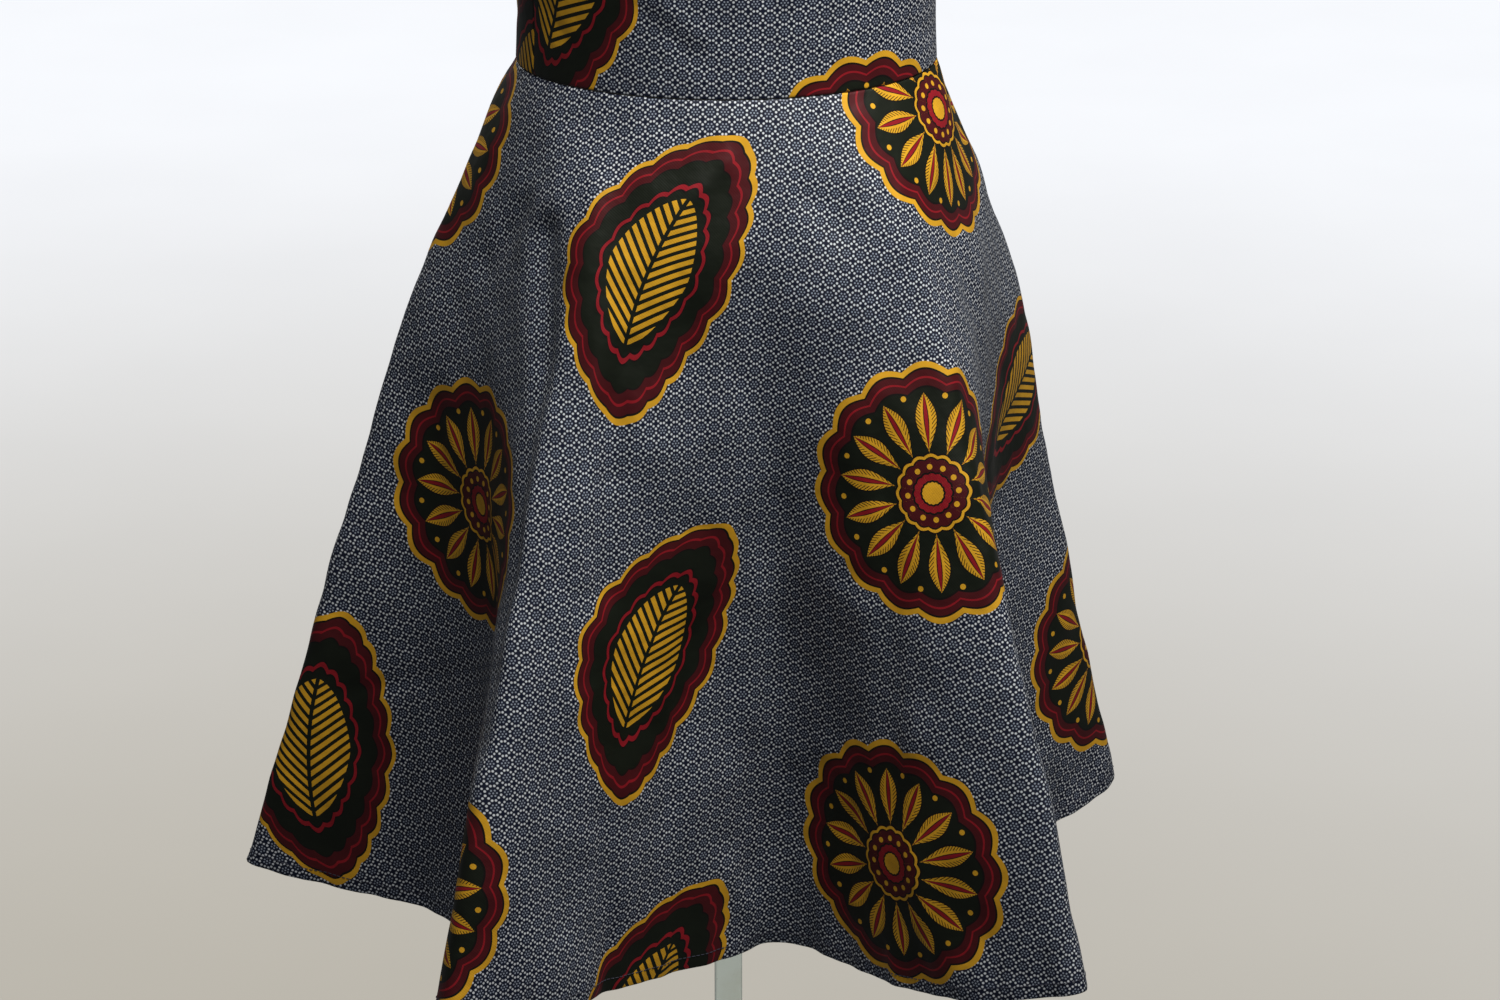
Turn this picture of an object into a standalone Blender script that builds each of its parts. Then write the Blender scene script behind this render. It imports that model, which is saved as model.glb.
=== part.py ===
"""Flared skirt with a high waistband, worn by a limbless dress form on a pole.

Metres, +Z up, the front faces -Y and the wearer's left is +X. The skirt is a sector of a
ring in flat cloth: level by level its edge is longer than the form's ellipse, and the
folds take up the difference. A fraction runs once round each ring, from the centre back
over +X, the front and -X, and stays on one straight line of the flat cloth.
"""

from collections import namedtuple

import bmesh
import bpy
import numpy as np

# Heights over the floor and cloth sizes
WAIST_HEIGHT = 1.050
SKIRT_LENGTH = 0.550
SKIRT_WALL = 0.0016
BAND_HEIGHT = 0.080
BAND_WALL = 0.0020
SEAM_GAP = 0.0003
FORM_GAP = 0.0005

# Where the seams stand, as fractions round the ring
SKIRT_SEAM_LEFT = 0.190
SKIRT_SEAM_RIGHT = 0.776
BAND_SEAM_LEFT = 0.250
BAND_SEAM_RIGHT = 0.687

# Back closure of the waistband, whose right end laps over its left one
LAP = 0.015
LAP_RAMP = 0.016
LAP_MARGIN = 0.002
BUTTON_RADIUS = 0.008
BUTTON_THICKNESS = 0.0028
BUTTON_RIM = 0.0007
BUTTON_COUNT = 3
BUTTON_PITCH = 0.026
BUTTON_CLEARANCE = 0.0001
BUTTON_DISH_START = 0.72
BUTTON_DISH_FOOT = 0.62

# Stand
POLE_WIDTH = 0.018
POLE_EDGE = 0.0015
BASE_RADIUS = 0.190
BASE_THICKNESS = 0.006
BASE_EDGE = 0.0024
FOOT_WIDTH = 0.036
FOOT_HEIGHT = 0.024
FLANGE_RADIUS = 0.045
FLANGE_THICKNESS = 0.005
FLANGE_EDGE = 0.001
CAP_RADIUS = 0.054
CAP_THICKNESS = 0.012
CAP_EDGE = 0.004
KNOB_RADIUS = 0.011
KNOB_HEIGHT = 0.026
STEM_SHARE = 0.6

# Mesh detail
LEVELS = 55
RING_POINTS = 1440
FRONT_COLUMNS = 112
BACK_COLUMNS = 42
BAND_COLUMNS = 72
FORM_COLUMNS = 40
ROUND_SIDES = 40
BUTTON_SIDES = 16
SMOOTH_ANGLE = np.radians(40)
NORMAL_STEP = 0.002
MERGE = 0.00001

Ring = namedtuple("Ring", "down half_width half_depth folded")
RINGS = [
    Ring(0.000, 0.126, 0.100, 0.00),
    Ring(0.070, 0.151, 0.121, 0.05),
    Ring(0.160, 0.175, 0.129, 0.19),
    Ring(0.320, 0.188, 0.129, 0.58),
    Ring(0.550, 0.218, 0.138, 1.00),
]

Fold = namedtuple("Fold", "name azimuth reach")
FOLDS = [
    Fold("back ridge", 180, 0.275),
    Fold("back left valley", 164, 0.190),
    Fold("back left ridge", 143, 0.285),
    Fold("side left valley", 126, 0.185),
    Fold("side left ridge", 112.5, 0.278),
    Fold("front left valley", 83, 0.165),
    Fold("front left ridge", 41, 0.310),
    Fold("front left shoulder", 34, 0.241),
    Fold("front valley", 15, 0.105),
    Fold("front slope", -10, 0.136),
    Fold("front right ridge", -33, 0.307),
    Fold("front right valley", -65, 0.191),
    Fold("side right panel", -76.5, 0.221),
    Fold("side right ridge", -82, 0.309),
    Fold("side right valley", -112, 0.185),
    Fold("back right ridge", -133, 0.295),
    Fold("back right valley", -157, 0.192),
]

BandRing = namedtuple("BandRing", "up half_width half_depth")
BAND_RINGS = [
    BandRing(0.000, 0.1260, 0.1000),
    BandRing(0.035, 0.1248, 0.0988),
    BandRing(0.080, 0.1268, 0.1008),
]

FormRing = namedtuple("FormRing", "up half_width half_depth")
FORM_BELOW = [
    FormRing(-0.236, 0.118, 0.072),
    FormRing(-0.228, 0.137, 0.087),
    FormRing(-0.205, 0.149, 0.096),
    FormRing(-0.150, 0.1525, 0.102),
    FormRing(-0.095, 0.1460, 0.1015),
    FormRing(-0.045, 0.1330, 0.0985),
]
FORM_ABOVE = [
    FormRing(0.120, 0.132, 0.104),
    FormRing(0.190, 0.146, 0.113),
    FormRing(0.260, 0.157, 0.114),
    FormRing(0.320, 0.164, 0.102),
    FormRing(0.365, 0.166, 0.086),
    FormRing(0.398, 0.154, 0.072),
    FormRing(0.420, 0.124, 0.063),
    FormRing(0.438, 0.088, 0.057),
    FormRing(0.458, 0.063, 0.053),
    FormRing(0.485, 0.055, 0.051),
    FormRing(0.520, 0.053, 0.050),
]

# Rows of the flat cloth, in levels below the waist, that the solids keep
PANEL_ROWS = [0, 3, 7, 11, 16, 23, 32, 43, 55]

# Rows of the band over the waist seam
BAND_ROWS = [0.0, 0.016, 0.035, 0.058, BAND_HEIGHT]


def clear_scene():
    for thing in list(bpy.data.objects):
        bpy.data.objects.remove(thing)


def finish_material(name, red, green, blue, roughness, metallic=0.0):
    material = bpy.data.materials.new(name)
    material.use_nodes = True
    shader = material.node_tree.nodes["Principled BSDF"]
    shader.inputs["Base Color"].default_value = (red, green, blue, 1.0)
    shader.inputs["Roughness"].default_value = roughness
    shader.inputs["Metallic"].default_value = metallic
    return material


def smooth_table(places, values, wanted):
    """Values of a smooth curve through a short table, with three-point slopes."""
    places = np.asarray(places, float)
    values = np.asarray(values, float)
    span = np.diff(places)
    rise = np.diff(values) / span
    slope = np.empty(len(places))
    slope[1:-1] = (rise[:-1] * span[1:] + rise[1:] * span[:-1]) / (span[:-1] + span[1:])
    slope[0] = 1.5 * rise[0] - 0.5 * slope[1]
    slope[-1] = 1.5 * rise[-1] - 0.5 * slope[-2]
    wanted = np.asarray(wanted, float)
    i = np.clip(np.searchsorted(places, wanted, side="right") - 1, 0, len(span) - 1)
    w = (wanted - places[i]) / span[i]
    start = (2 * w**3 - 3 * w**2 + 1) * values[i] + (w**3 - 2 * w**2 + w) * span[i] * slope[i]
    end = (3 * w**2 - 2 * w**3) * values[i + 1] + (w**3 - w**2) * span[i] * slope[i + 1]
    return start + end


def closed_curve(corners):
    """Smooth closed curve through the corners, evenly spaced along their chords."""
    before = np.roll(corners, 1, axis=0)
    after = np.roll(corners, -1, axis=0)
    chord = np.linalg.norm(after - corners, axis=1)
    chord_before = np.roll(chord, 1)
    slope_in = (corners - before) / chord_before[:, None]
    slope_out = (after - corners) / chord[:, None]
    slope = slope_in * chord[:, None] + slope_out * chord_before[:, None]
    slope /= (chord + chord_before)[:, None]
    knots = np.concatenate([[0], np.cumsum(chord)])
    place = np.linspace(0, knots[-1], RING_POINTS, endpoint=False)
    i = np.clip(np.searchsorted(knots, place, side="right") - 1, 0, len(corners) - 1)
    j = (i + 1) % len(corners)
    w = ((place - knots[i]) / chord[i])[:, None]
    span = chord[i][:, None]
    start = (2 * w**3 - 3 * w**2 + 1) * corners[i] + (w**3 - 2 * w**2 + w) * span * slope[i]
    end = (3 * w**2 - 2 * w**3) * corners[j] + (w**3 - w**2) * span * slope[j]
    return start + end


def ellipse(half_width, half_depth):
    """Ring that starts at the centre back and runs over +X, the front and -X."""
    turn = np.linspace(0, 2 * np.pi, RING_POINTS, endpoint=False)
    return np.stack([half_width * np.sin(turn), half_depth * np.cos(turn)], axis=1)


def arc_lengths(curve):
    step = np.linalg.norm(np.roll(curve, -1, axis=0) - curve, axis=1)
    return np.concatenate([[0], np.cumsum(step)])


def along(curve, fractions):
    """Points at these fractions of a closed curve's own length."""
    lengths = arc_lengths(curve)
    closed = np.vstack([curve, curve[:1]])
    place = (np.asarray(fractions) % 1.0) * lengths[-1]
    x = np.interp(place, lengths, closed[:, 0])
    y = np.interp(place, lengths, closed[:, 1])
    return np.stack([x, y], axis=-1)


def hem_curve():
    """Plan of the hem through the folds, started where it crosses the centre back."""
    turn = np.radians([fold.azimuth for fold in FOLDS])
    reach = np.array([fold.reach for fold in FOLDS])
    curve = closed_curve(np.stack([reach * np.sin(turn), -reach * np.cos(turn)], axis=1))
    at_back = np.where(curve[:, 1] > 0, np.abs(curve[:, 0]), 1.0)
    return np.roll(curve, -int(np.argmin(at_back)), axis=0)


def skirt_rings():
    """Plan of each level: the ellipse there, pushed towards the hem's folds."""
    every = np.arange(RING_POINTS) / RING_POINTS
    down = np.linspace(0, SKIRT_LENGTH, LEVELS + 1)
    places = [ring.down for ring in RINGS]
    half_width = smooth_table(places, [ring.half_width for ring in RINGS], down)
    half_depth = smooth_table(places, [ring.half_depth for ring in RINGS], down)
    folded = smooth_table(places, [ring.folded for ring in RINGS], down)
    lowest = along(ellipse(half_width[-1], half_depth[-1]), every)
    push = along(hem_curve(), every) - lowest
    rings = []
    for width, depth, share in zip(half_width, half_depth, folded):
        rings.append(along(ellipse(width, depth), every) + share * push)
    return rings


def skirt_surface(rings, fractions):
    """Points for fractions[level, column]: each line keeps its true length down the cloth."""
    plan = np.stack([along(ring, row) for ring, row in zip(rings, fractions)])
    step = SKIRT_LENGTH / LEVELS
    run = np.linalg.norm(np.diff(plan, axis=0), axis=2)
    fall = np.cumsum(np.sqrt(step**2 - run**2), axis=0)
    height = WAIST_HEIGHT - SEAM_GAP / 2 - np.vstack([np.zeros(plan.shape[1]), fall])
    return np.concatenate([plan, height[:, :, None]], axis=2)


def outward_of(across, down):
    normal = np.cross(across, down)
    normal[0, :, 2] = 0.0
    return normal / np.linalg.norm(normal, axis=2, keepdims=True)


def add_wall(name, middle, outward, thickness, material):
    """Closed wall round a grid of middle points; its sides are the grid's four edges."""
    rows, columns = middle.shape[:2]
    mesh = bmesh.new()
    outer = [[mesh.verts.new(p) for p in row] for row in middle + outward * thickness / 2]
    inner = [[mesh.verts.new(p) for p in row] for row in middle - outward * thickness / 2]
    for i in range(rows - 1):
        for j in range(columns - 1):
            mesh.faces.new([outer[i][j], outer[i + 1][j], outer[i + 1][j + 1], outer[i][j + 1]])
            mesh.faces.new([inner[i][j], inner[i][j + 1], inner[i + 1][j + 1], inner[i + 1][j]])
    for i in range(rows - 1):
        mesh.faces.new([outer[i][0], inner[i][0], inner[i + 1][0], outer[i + 1][0]])
        mesh.faces.new([outer[i][-1], outer[i + 1][-1], inner[i + 1][-1], inner[i][-1]])
    for j in range(columns - 1):
        mesh.faces.new([outer[0][j], outer[0][j + 1], inner[0][j + 1], inner[0][j]])
        mesh.faces.new([outer[-1][j], inner[-1][j], inner[-1][j + 1], outer[-1][j + 1]])
    return add_mesh(name, mesh, material)


def add_mesh(name, mesh, material):
    bmesh.ops.recalc_face_normals(mesh, faces=mesh.faces)
    data = bpy.data.meshes.new(name)
    mesh.to_mesh(data)
    mesh.free()
    data.shade_smooth()
    data.set_sharp_from_angle(angle=SMOOTH_ANGLE)
    data.materials.append(material)
    thing = bpy.data.objects.new(name, data)
    bpy.context.scene.collection.objects.link(thing)
    return thing


def add_skirt_panel(name, rings, start, end, columns, material):
    """One cut panel between two seams, each edge half a seam gap inside its seam."""
    length = np.array([arc_lengths(ring)[-1] for ring in rings])
    inset = (SEAM_GAP / 2 / length)[:, None]
    share = np.linspace(0, 1, columns + 1)[None, :]
    fractions = (start + inset) * (1 - share) + (end - inset) * share
    nudge = NORMAL_STEP / length[:, None]
    middle = skirt_surface(rings, fractions)
    across = skirt_surface(rings, fractions + nudge) - skirt_surface(rings, fractions - nudge)
    outward = outward_of(across, np.gradient(middle, axis=0))
    return add_wall(name, middle[PANEL_ROWS], outward[PANEL_ROWS], SKIRT_WALL, material)


def band_sizes():
    """Half width and half depth of the band at each of its rows."""
    places = [ring.up for ring in BAND_RINGS]
    widths = smooth_table(places, [ring.half_width for ring in BAND_RINGS], BAND_ROWS)
    depths = smooth_table(places, [ring.half_depth for ring in BAND_RINGS], BAND_ROWS)
    return widths, depths


def band_lift(distance):
    """How far the upper back end of the band stands off, to pass over the lower one."""
    share = np.clip((distance + LAP + LAP_MARGIN + LAP_RAMP) / LAP_RAMP, 0, 1)
    return (BAND_WALL + SEAM_GAP) * share * share * (3 - 2 * share)


def add_band_piece(name, start, end, columns, material, laps_over=False):
    """Part of the waistband, from distance start to end round it from the centre back."""
    widths, depths = band_sizes()
    distance = np.linspace(start, end, columns + 1)
    length = arc_lengths(ellipse(widths[0], depths[0]))[-1]
    lift = band_lift(distance) if laps_over else np.zeros(columns + 1)
    middle = []
    outward = []
    for rise, width, depth in zip(BAND_ROWS[::-1], widths[::-1], depths[::-1]):
        plan = along(ellipse(width, depth), distance / length)
        normal = plan / np.array([width**2, depth**2])
        normal /= np.linalg.norm(normal, axis=1, keepdims=True)
        plan = plan + normal * lift[:, None]
        height = np.full(columns + 1, WAIST_HEIGHT + SEAM_GAP / 2 + rise)
        middle.append(np.column_stack([plan, height]))
        outward.append(np.column_stack([normal, np.zeros(columns + 1)]))
    return add_wall(name, np.array(middle), np.array(outward), BAND_WALL, material)


def add_band(material):
    length = arc_lengths(ellipse(BAND_RINGS[0].half_width, BAND_RINGS[0].half_depth))[-1]
    half_gap = SEAM_GAP / 2
    left = BAND_SEAM_LEFT * length
    right = BAND_SEAM_RIGHT * length
    back_columns = BAND_COLUMNS // 4
    add_band_piece("band_front", left + half_gap, right - half_gap, BAND_COLUMNS // 2, material)
    add_band_piece("band_back_left", -LAP, left - half_gap, back_columns, material)
    start = right - length + half_gap
    add_band_piece("band_back_right", start, LAP, back_columns + 6, material, laps_over=True)


def add_turned(name, profile, centre, material, axis="Z", sides=ROUND_SIDES):
    """Solid of revolution: profile points are (radius, height), from the lower axis up."""
    mesh = bmesh.new()
    line = [mesh.verts.new((radius, 0.0, height)) for radius, height in profile]
    edges = [mesh.edges.new(pair) for pair in zip(line, line[1:])]
    bmesh.ops.spin(
        mesh, geom=line + edges, cent=(0, 0, 0), axis=(0, 0, 1), angle=2 * np.pi, steps=sides
    )
    bmesh.ops.remove_doubles(mesh, verts=mesh.verts, dist=MERGE)
    thing = add_mesh(name, mesh, material)
    thing.location = centre
    if axis == "Y":
        thing.rotation_euler = (-np.pi / 2, 0, 0)
    return thing


def add_buttons(material):
    """Flat round buttons on the upper end of the band, down the centre back."""
    stand_off = 1.5 * BAND_WALL + 2 * SEAM_GAP + BUTTON_CLEARANCE
    depths = band_sizes()[1]
    profile = [
        (0.0, 0.0),
        (BUTTON_RADIUS - BUTTON_RIM, 0.0),
        (BUTTON_RADIUS, BUTTON_RIM),
        (BUTTON_RADIUS, BUTTON_THICKNESS - BUTTON_RIM),
        (BUTTON_RADIUS - BUTTON_RIM, BUTTON_THICKNESS),
        (BUTTON_RADIUS * BUTTON_DISH_START, BUTTON_THICKNESS),
        (BUTTON_RADIUS * BUTTON_DISH_FOOT, BUTTON_THICKNESS - BUTTON_RIM),
        (0.0, BUTTON_THICKNESS - BUTTON_RIM),
    ]
    for number in range(BUTTON_COUNT):
        up = BAND_HEIGHT / 2 + (number - (BUTTON_COUNT - 1) / 2) * BUTTON_PITCH
        centre = (0.0, np.interp(up, BAND_ROWS, depths) + stand_off, WAIST_HEIGHT + up)
        name = f"button_{number + 1}"
        add_turned(name, profile, centre, material, axis="Y", sides=BUTTON_SIDES)


def form_rings():
    """Rings of the form, just inside the waistband where that grips it."""
    inset = BAND_WALL / 2 + FORM_GAP
    waist = []
    for rise, width, depth in zip(BAND_ROWS, *band_sizes()):
        waist.append(FormRing(rise, width - inset, depth - inset))
    return FORM_BELOW + waist + FORM_ABOVE


def add_form(material):
    """Smooth limbless torso, from the hips to the neck, closed flat at both ends."""
    mesh = bmesh.new()
    turn = np.linspace(0, 2 * np.pi, FORM_COLUMNS, endpoint=False)
    loops = []
    for ring in form_rings():
        corners = []
        for angle in turn:
            x = ring.half_width * np.sin(angle)
            y = ring.half_depth * np.cos(angle)
            corners.append(mesh.verts.new((x, y, WAIST_HEIGHT + ring.up)))
        loops.append(corners)
    for lower, upper in zip(loops, loops[1:]):
        for j in range(FORM_COLUMNS):
            k = (j + 1) % FORM_COLUMNS
            mesh.faces.new([lower[j], lower[k], upper[k], upper[j]])
    mesh.faces.new(loops[0])
    mesh.faces.new(list(reversed(loops[-1])))
    add_mesh("form_torso", mesh, material)


def add_cap(material):
    """Turned cap on the neck, with a round knob on a short stem."""
    foot = WAIST_HEIGHT + FORM_ABOVE[-1].up + SEAM_GAP
    stem = KNOB_RADIUS * STEM_SHARE
    knob_top = CAP_THICKNESS + KNOB_HEIGHT
    profile = [
        (0.0, 0.0),
        (CAP_RADIUS - CAP_EDGE / 2, 0.0),
        (CAP_RADIUS, CAP_EDGE / 2),
        (CAP_RADIUS, CAP_THICKNESS - CAP_EDGE),
        (CAP_RADIUS - CAP_EDGE, CAP_THICKNESS),
        (stem, CAP_THICKNESS),
        (stem, CAP_THICKNESS + KNOB_HEIGHT * 0.25),
        (KNOB_RADIUS, CAP_THICKNESS + KNOB_HEIGHT * 0.45),
        (KNOB_RADIUS, CAP_THICKNESS + KNOB_HEIGHT * 0.75),
        (stem, knob_top - KNOB_HEIGHT * 0.04),
        (0.0, knob_top),
    ]
    add_turned("form_neck_cap", profile, (0.0, 0.0, foot), material)


def add_block(name, width, foot, top, material):
    """Square post with small soft edges, centred on the upright axis."""
    mesh = bmesh.new()
    bmesh.ops.create_cube(mesh, size=1.0)
    bmesh.ops.scale(mesh, verts=mesh.verts, vec=(width, width, top - foot))
    thing = add_mesh(name, mesh, material)
    thing.location = (0.0, 0.0, (foot + top) / 2)
    bevel = thing.modifiers.new("soft edges", "BEVEL")
    bevel.width = POLE_EDGE
    bevel.segments = 2


def add_stand(material):
    """Round base plate, foot block, square pole, and a flange under the torso."""
    base = [
        (0.0, 0.0),
        (BASE_RADIUS - BASE_EDGE / 3, 0.0),
        (BASE_RADIUS, BASE_EDGE / 3),
        (BASE_RADIUS, BASE_THICKNESS - BASE_EDGE),
        (BASE_RADIUS - BASE_EDGE * 0.3, BASE_THICKNESS - BASE_EDGE * 0.3),
        (BASE_RADIUS - BASE_EDGE, BASE_THICKNESS),
        (0.0, BASE_THICKNESS),
    ]
    add_turned("stand_base", base, (0.0, 0.0, 0.0), material)
    deck = BASE_THICKNESS + SEAM_GAP
    torso_foot = WAIST_HEIGHT + FORM_BELOW[0].up
    flange_foot = torso_foot - SEAM_GAP - FLANGE_THICKNESS
    flange = [
        (0.0, 0.0),
        (FLANGE_RADIUS - FLANGE_EDGE, 0.0),
        (FLANGE_RADIUS, FLANGE_EDGE),
        (FLANGE_RADIUS, FLANGE_THICKNESS),
        (0.0, FLANGE_THICKNESS),
    ]
    add_turned("stand_flange", flange, (0.0, 0.0, flange_foot), material)
    add_block("stand_foot", FOOT_WIDTH, deck, deck + FOOT_HEIGHT, material)
    pole_foot = deck + FOOT_HEIGHT + SEAM_GAP
    add_block("stand_pole", POLE_WIDTH, pole_foot, flange_foot - SEAM_GAP, material)


def build():
    clear_scene()
    cloth = finish_material("printed cotton", 0.06, 0.07, 0.12, 0.75)
    jersey = finish_material("form jersey", 0.78, 0.74, 0.66, 0.85)
    wood = finish_material("turned beech", 0.45, 0.28, 0.14, 0.45)
    paint = finish_material("pale green paint", 0.62, 0.70, 0.66, 0.45)
    horn = finish_material("button resin", 0.03, 0.03, 0.05, 0.30)
    rings = skirt_rings()
    front = (SKIRT_SEAM_LEFT, SKIRT_SEAM_RIGHT)
    add_skirt_panel("skirt_front", rings, *front, FRONT_COLUMNS, cloth)
    add_skirt_panel("skirt_back_left", rings, 0.0, SKIRT_SEAM_LEFT, BACK_COLUMNS, cloth)
    add_skirt_panel("skirt_back_right", rings, SKIRT_SEAM_RIGHT, 1.0, BACK_COLUMNS, cloth)
    add_band(cloth)
    add_buttons(horn)
    add_form(jersey)
    add_cap(wood)
    add_stand(paint)


build()
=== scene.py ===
"""Looks of the flared skirt on its dress form: printed cotton, jersey, beech and paint.

Metres, +Z up, the front faces -Y and the wearer's left is +X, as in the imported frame. The
cloth pieces are thin shells on the same rings and folds as the solids that they stand for.
A fraction runs once round each ring, from the centre back over +X, the front and -X.
"""

from collections import namedtuple

import bpy
import numpy as np
from mathutils import Matrix, Vector
from mathutils.noise import noise as noise_at


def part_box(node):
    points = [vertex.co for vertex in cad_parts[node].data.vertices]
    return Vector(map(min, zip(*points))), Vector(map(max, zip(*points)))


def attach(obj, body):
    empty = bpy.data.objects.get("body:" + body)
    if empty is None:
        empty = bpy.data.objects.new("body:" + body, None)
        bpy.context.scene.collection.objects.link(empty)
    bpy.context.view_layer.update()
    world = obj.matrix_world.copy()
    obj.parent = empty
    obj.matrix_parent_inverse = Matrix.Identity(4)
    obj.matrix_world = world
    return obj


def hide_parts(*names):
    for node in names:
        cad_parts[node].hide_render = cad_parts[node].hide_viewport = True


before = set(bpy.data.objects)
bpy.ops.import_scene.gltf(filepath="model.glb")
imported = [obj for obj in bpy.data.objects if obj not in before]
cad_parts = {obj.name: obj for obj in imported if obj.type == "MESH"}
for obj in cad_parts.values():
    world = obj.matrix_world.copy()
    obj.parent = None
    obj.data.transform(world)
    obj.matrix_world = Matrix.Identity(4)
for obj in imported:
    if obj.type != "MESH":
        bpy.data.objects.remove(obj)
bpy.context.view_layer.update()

# Sizes and places that the solids have too
WAIST_HEIGHT = 1.050
SKIRT_LENGTH = 0.550
BAND_HEIGHT = 0.080
BAND_WALL = 0.0020
SEAM_GAP = 0.0003
SKIRT_SEAM_LEFT = 0.190
SKIRT_SEAM_RIGHT = 0.776
BAND_SEAM_LEFT = 0.250
BAND_SEAM_RIGHT = 0.687
LAP = 0.015
LAP_RAMP = 0.016
LAP_MARGIN = 0.002
BUTTON_COUNT = 3
LEVELS = 55
RING_POINTS = 1440

SkirtRing = namedtuple("SkirtRing", "down half_width half_depth folded")
SKIRT_RINGS = [
    SkirtRing(0.000, 0.126, 0.100, 0.00),
    SkirtRing(0.070, 0.151, 0.121, 0.05),
    SkirtRing(0.160, 0.175, 0.129, 0.19),
    SkirtRing(0.320, 0.188, 0.129, 0.58),
    SkirtRing(0.550, 0.218, 0.138, 1.00),
]

Fold = namedtuple("Fold", "name azimuth reach")
FOLDS = [
    Fold("back ridge", 180, 0.275),
    Fold("back left valley", 164, 0.190),
    Fold("back left ridge", 143, 0.285),
    Fold("side left valley", 126, 0.185),
    Fold("side left ridge", 112.5, 0.278),
    Fold("front left valley", 83, 0.165),
    Fold("front left ridge", 41, 0.310),
    Fold("front left shoulder", 34, 0.241),
    Fold("front valley", 15, 0.105),
    Fold("front slope", -10, 0.136),
    Fold("front right ridge", -33, 0.307),
    Fold("front right valley", -65, 0.191),
    Fold("side right panel", -76.5, 0.221),
    Fold("side right ridge", -82, 0.309),
    Fold("side right valley", -112, 0.185),
    Fold("back right ridge", -133, 0.295),
    Fold("back right valley", -157, 0.192),
]

# Rings of the waistband and of the form, by their height above the waist
Ring = namedtuple("Ring", "up half_width half_depth")
BAND_RINGS = [
    Ring(0.000, 0.1260, 0.1000),
    Ring(0.035, 0.1248, 0.0988),
    Ring(0.080, 0.1268, 0.1008),
]
FORM_RINGS = [
    Ring(-0.236, 0.118, 0.072),
    Ring(-0.228, 0.137, 0.087),
    Ring(-0.205, 0.149, 0.096),
    Ring(-0.150, 0.1525, 0.102),
    Ring(-0.095, 0.1460, 0.1015),
    Ring(-0.045, 0.1330, 0.0985),
    Ring(0.000, 0.1245, 0.0985),
    Ring(0.035, 0.1233, 0.0973),
    Ring(0.080, 0.1253, 0.0993),
    Ring(0.120, 0.132, 0.104),
    Ring(0.190, 0.146, 0.113),
    Ring(0.260, 0.157, 0.114),
    Ring(0.320, 0.164, 0.102),
    Ring(0.365, 0.166, 0.086),
    Ring(0.398, 0.154, 0.072),
    Ring(0.420, 0.124, 0.063),
    Ring(0.438, 0.088, 0.057),
    Ring(0.458, 0.063, 0.053),
    Ring(0.485, 0.055, 0.051),
    Ring(0.520, 0.053, 0.050),
]

# How the flat cloth is cut: a sector of a ring, with the straight grain at the centre front
SECTOR = 2.73
GRAIN_AT = 0.507
WAIST_ROUND = 0.7123
WAIST_RADIUS = WAIST_ROUND / SECTOR

# Thin cloth, its seams and its turned hem
CLOTH = 0.0006
BAND_CLOTH = 0.0013
SEAM_ROLL = 0.0016
SEAM_DIP = 0.0010
BAND_DIP = 0.0007
NEAR_SEAM = np.array([0.0, 0.25, 0.55, 0.9, 1.4, 2.2, 3.6]) * 0.001
HEM_ROUND = 0.00065
HEM_ROUND_STEPS = 7
TURNED_ROWS = np.array([0.001, 0.004, 0.007, 0.010])

# Sewing
HEM_STITCH_UP = 0.008
STITCH_PITCH = 0.0031
STITCH_LENGTH = 0.0025
THREAD_RADIUS = 0.00030
STITCH_LIFTS = np.array([-0.6, 0.5, 0.8, 0.5, -0.6])
THREAD_SIDES = 6
THREAD_TIP = 0.6
BUTTONHOLE_START = -0.0145
BUTTONHOLE_END = 0.0030
BUTTONHOLE_STITCHES = 22
BUTTONHOLE_STITCH = 0.0016
BUTTONHOLE_HALF = 0.0010

# Buttons
BUTTON_SIDES = 72
BUTTON_ROUNDING = 0.0007
BUTTON_RIM_SHARE = 0.72
BUTTON_DISH_SHARE = 0.62
HOLE_RADIUS = 0.00085
HOLE_SIDES = 20
HOLE_OFF_CENTRE = 0.0015
DRILL_FROM = -0.001
DRILL_TO = 0.004
BUTTON_THREAD = 0.00028
THREAD_ARCH = [(-1.0, -0.0008), (-0.9, 0.0001), (0.0, 0.0004), (0.9, 0.0001), (1.0, -0.0008)]

# Where the soft relief fades out: along a crease, below the waist, at the centre back and in
# from the waistband's edges
CREASE_TAPER = 0.35
WAIST_CALM = 0.018
BACK_CALM = 0.030
BAND_CALM = 0.008

# Turned cap on the form's neck
CAP_SIDES = 96
CAP_RADIUS = 0.054
CAP_THICKNESS = 0.012
CAP_ROUNDING = 0.004
CAP_FOOT = [(0.0, 0.0), (0.0520, 0.0), (0.0534, 0.0006), (CAP_RADIUS, 0.0020)]
STEM_RADIUS = 0.0055
STEM_COVE = 0.0030
KNOB_RADIUS = 0.011
KNOB_MIDDLE_SHARE = 0.6

# Mesh detail
FRONT_COLUMNS = 372
BACK_COLUMNS = 150
BODY_ROWS = 104
BAND_ROWS = 44
FORM_ROWS = 150
FORM_COLUMNS = 120
JERSEY_ROUND = 0.72

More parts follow.
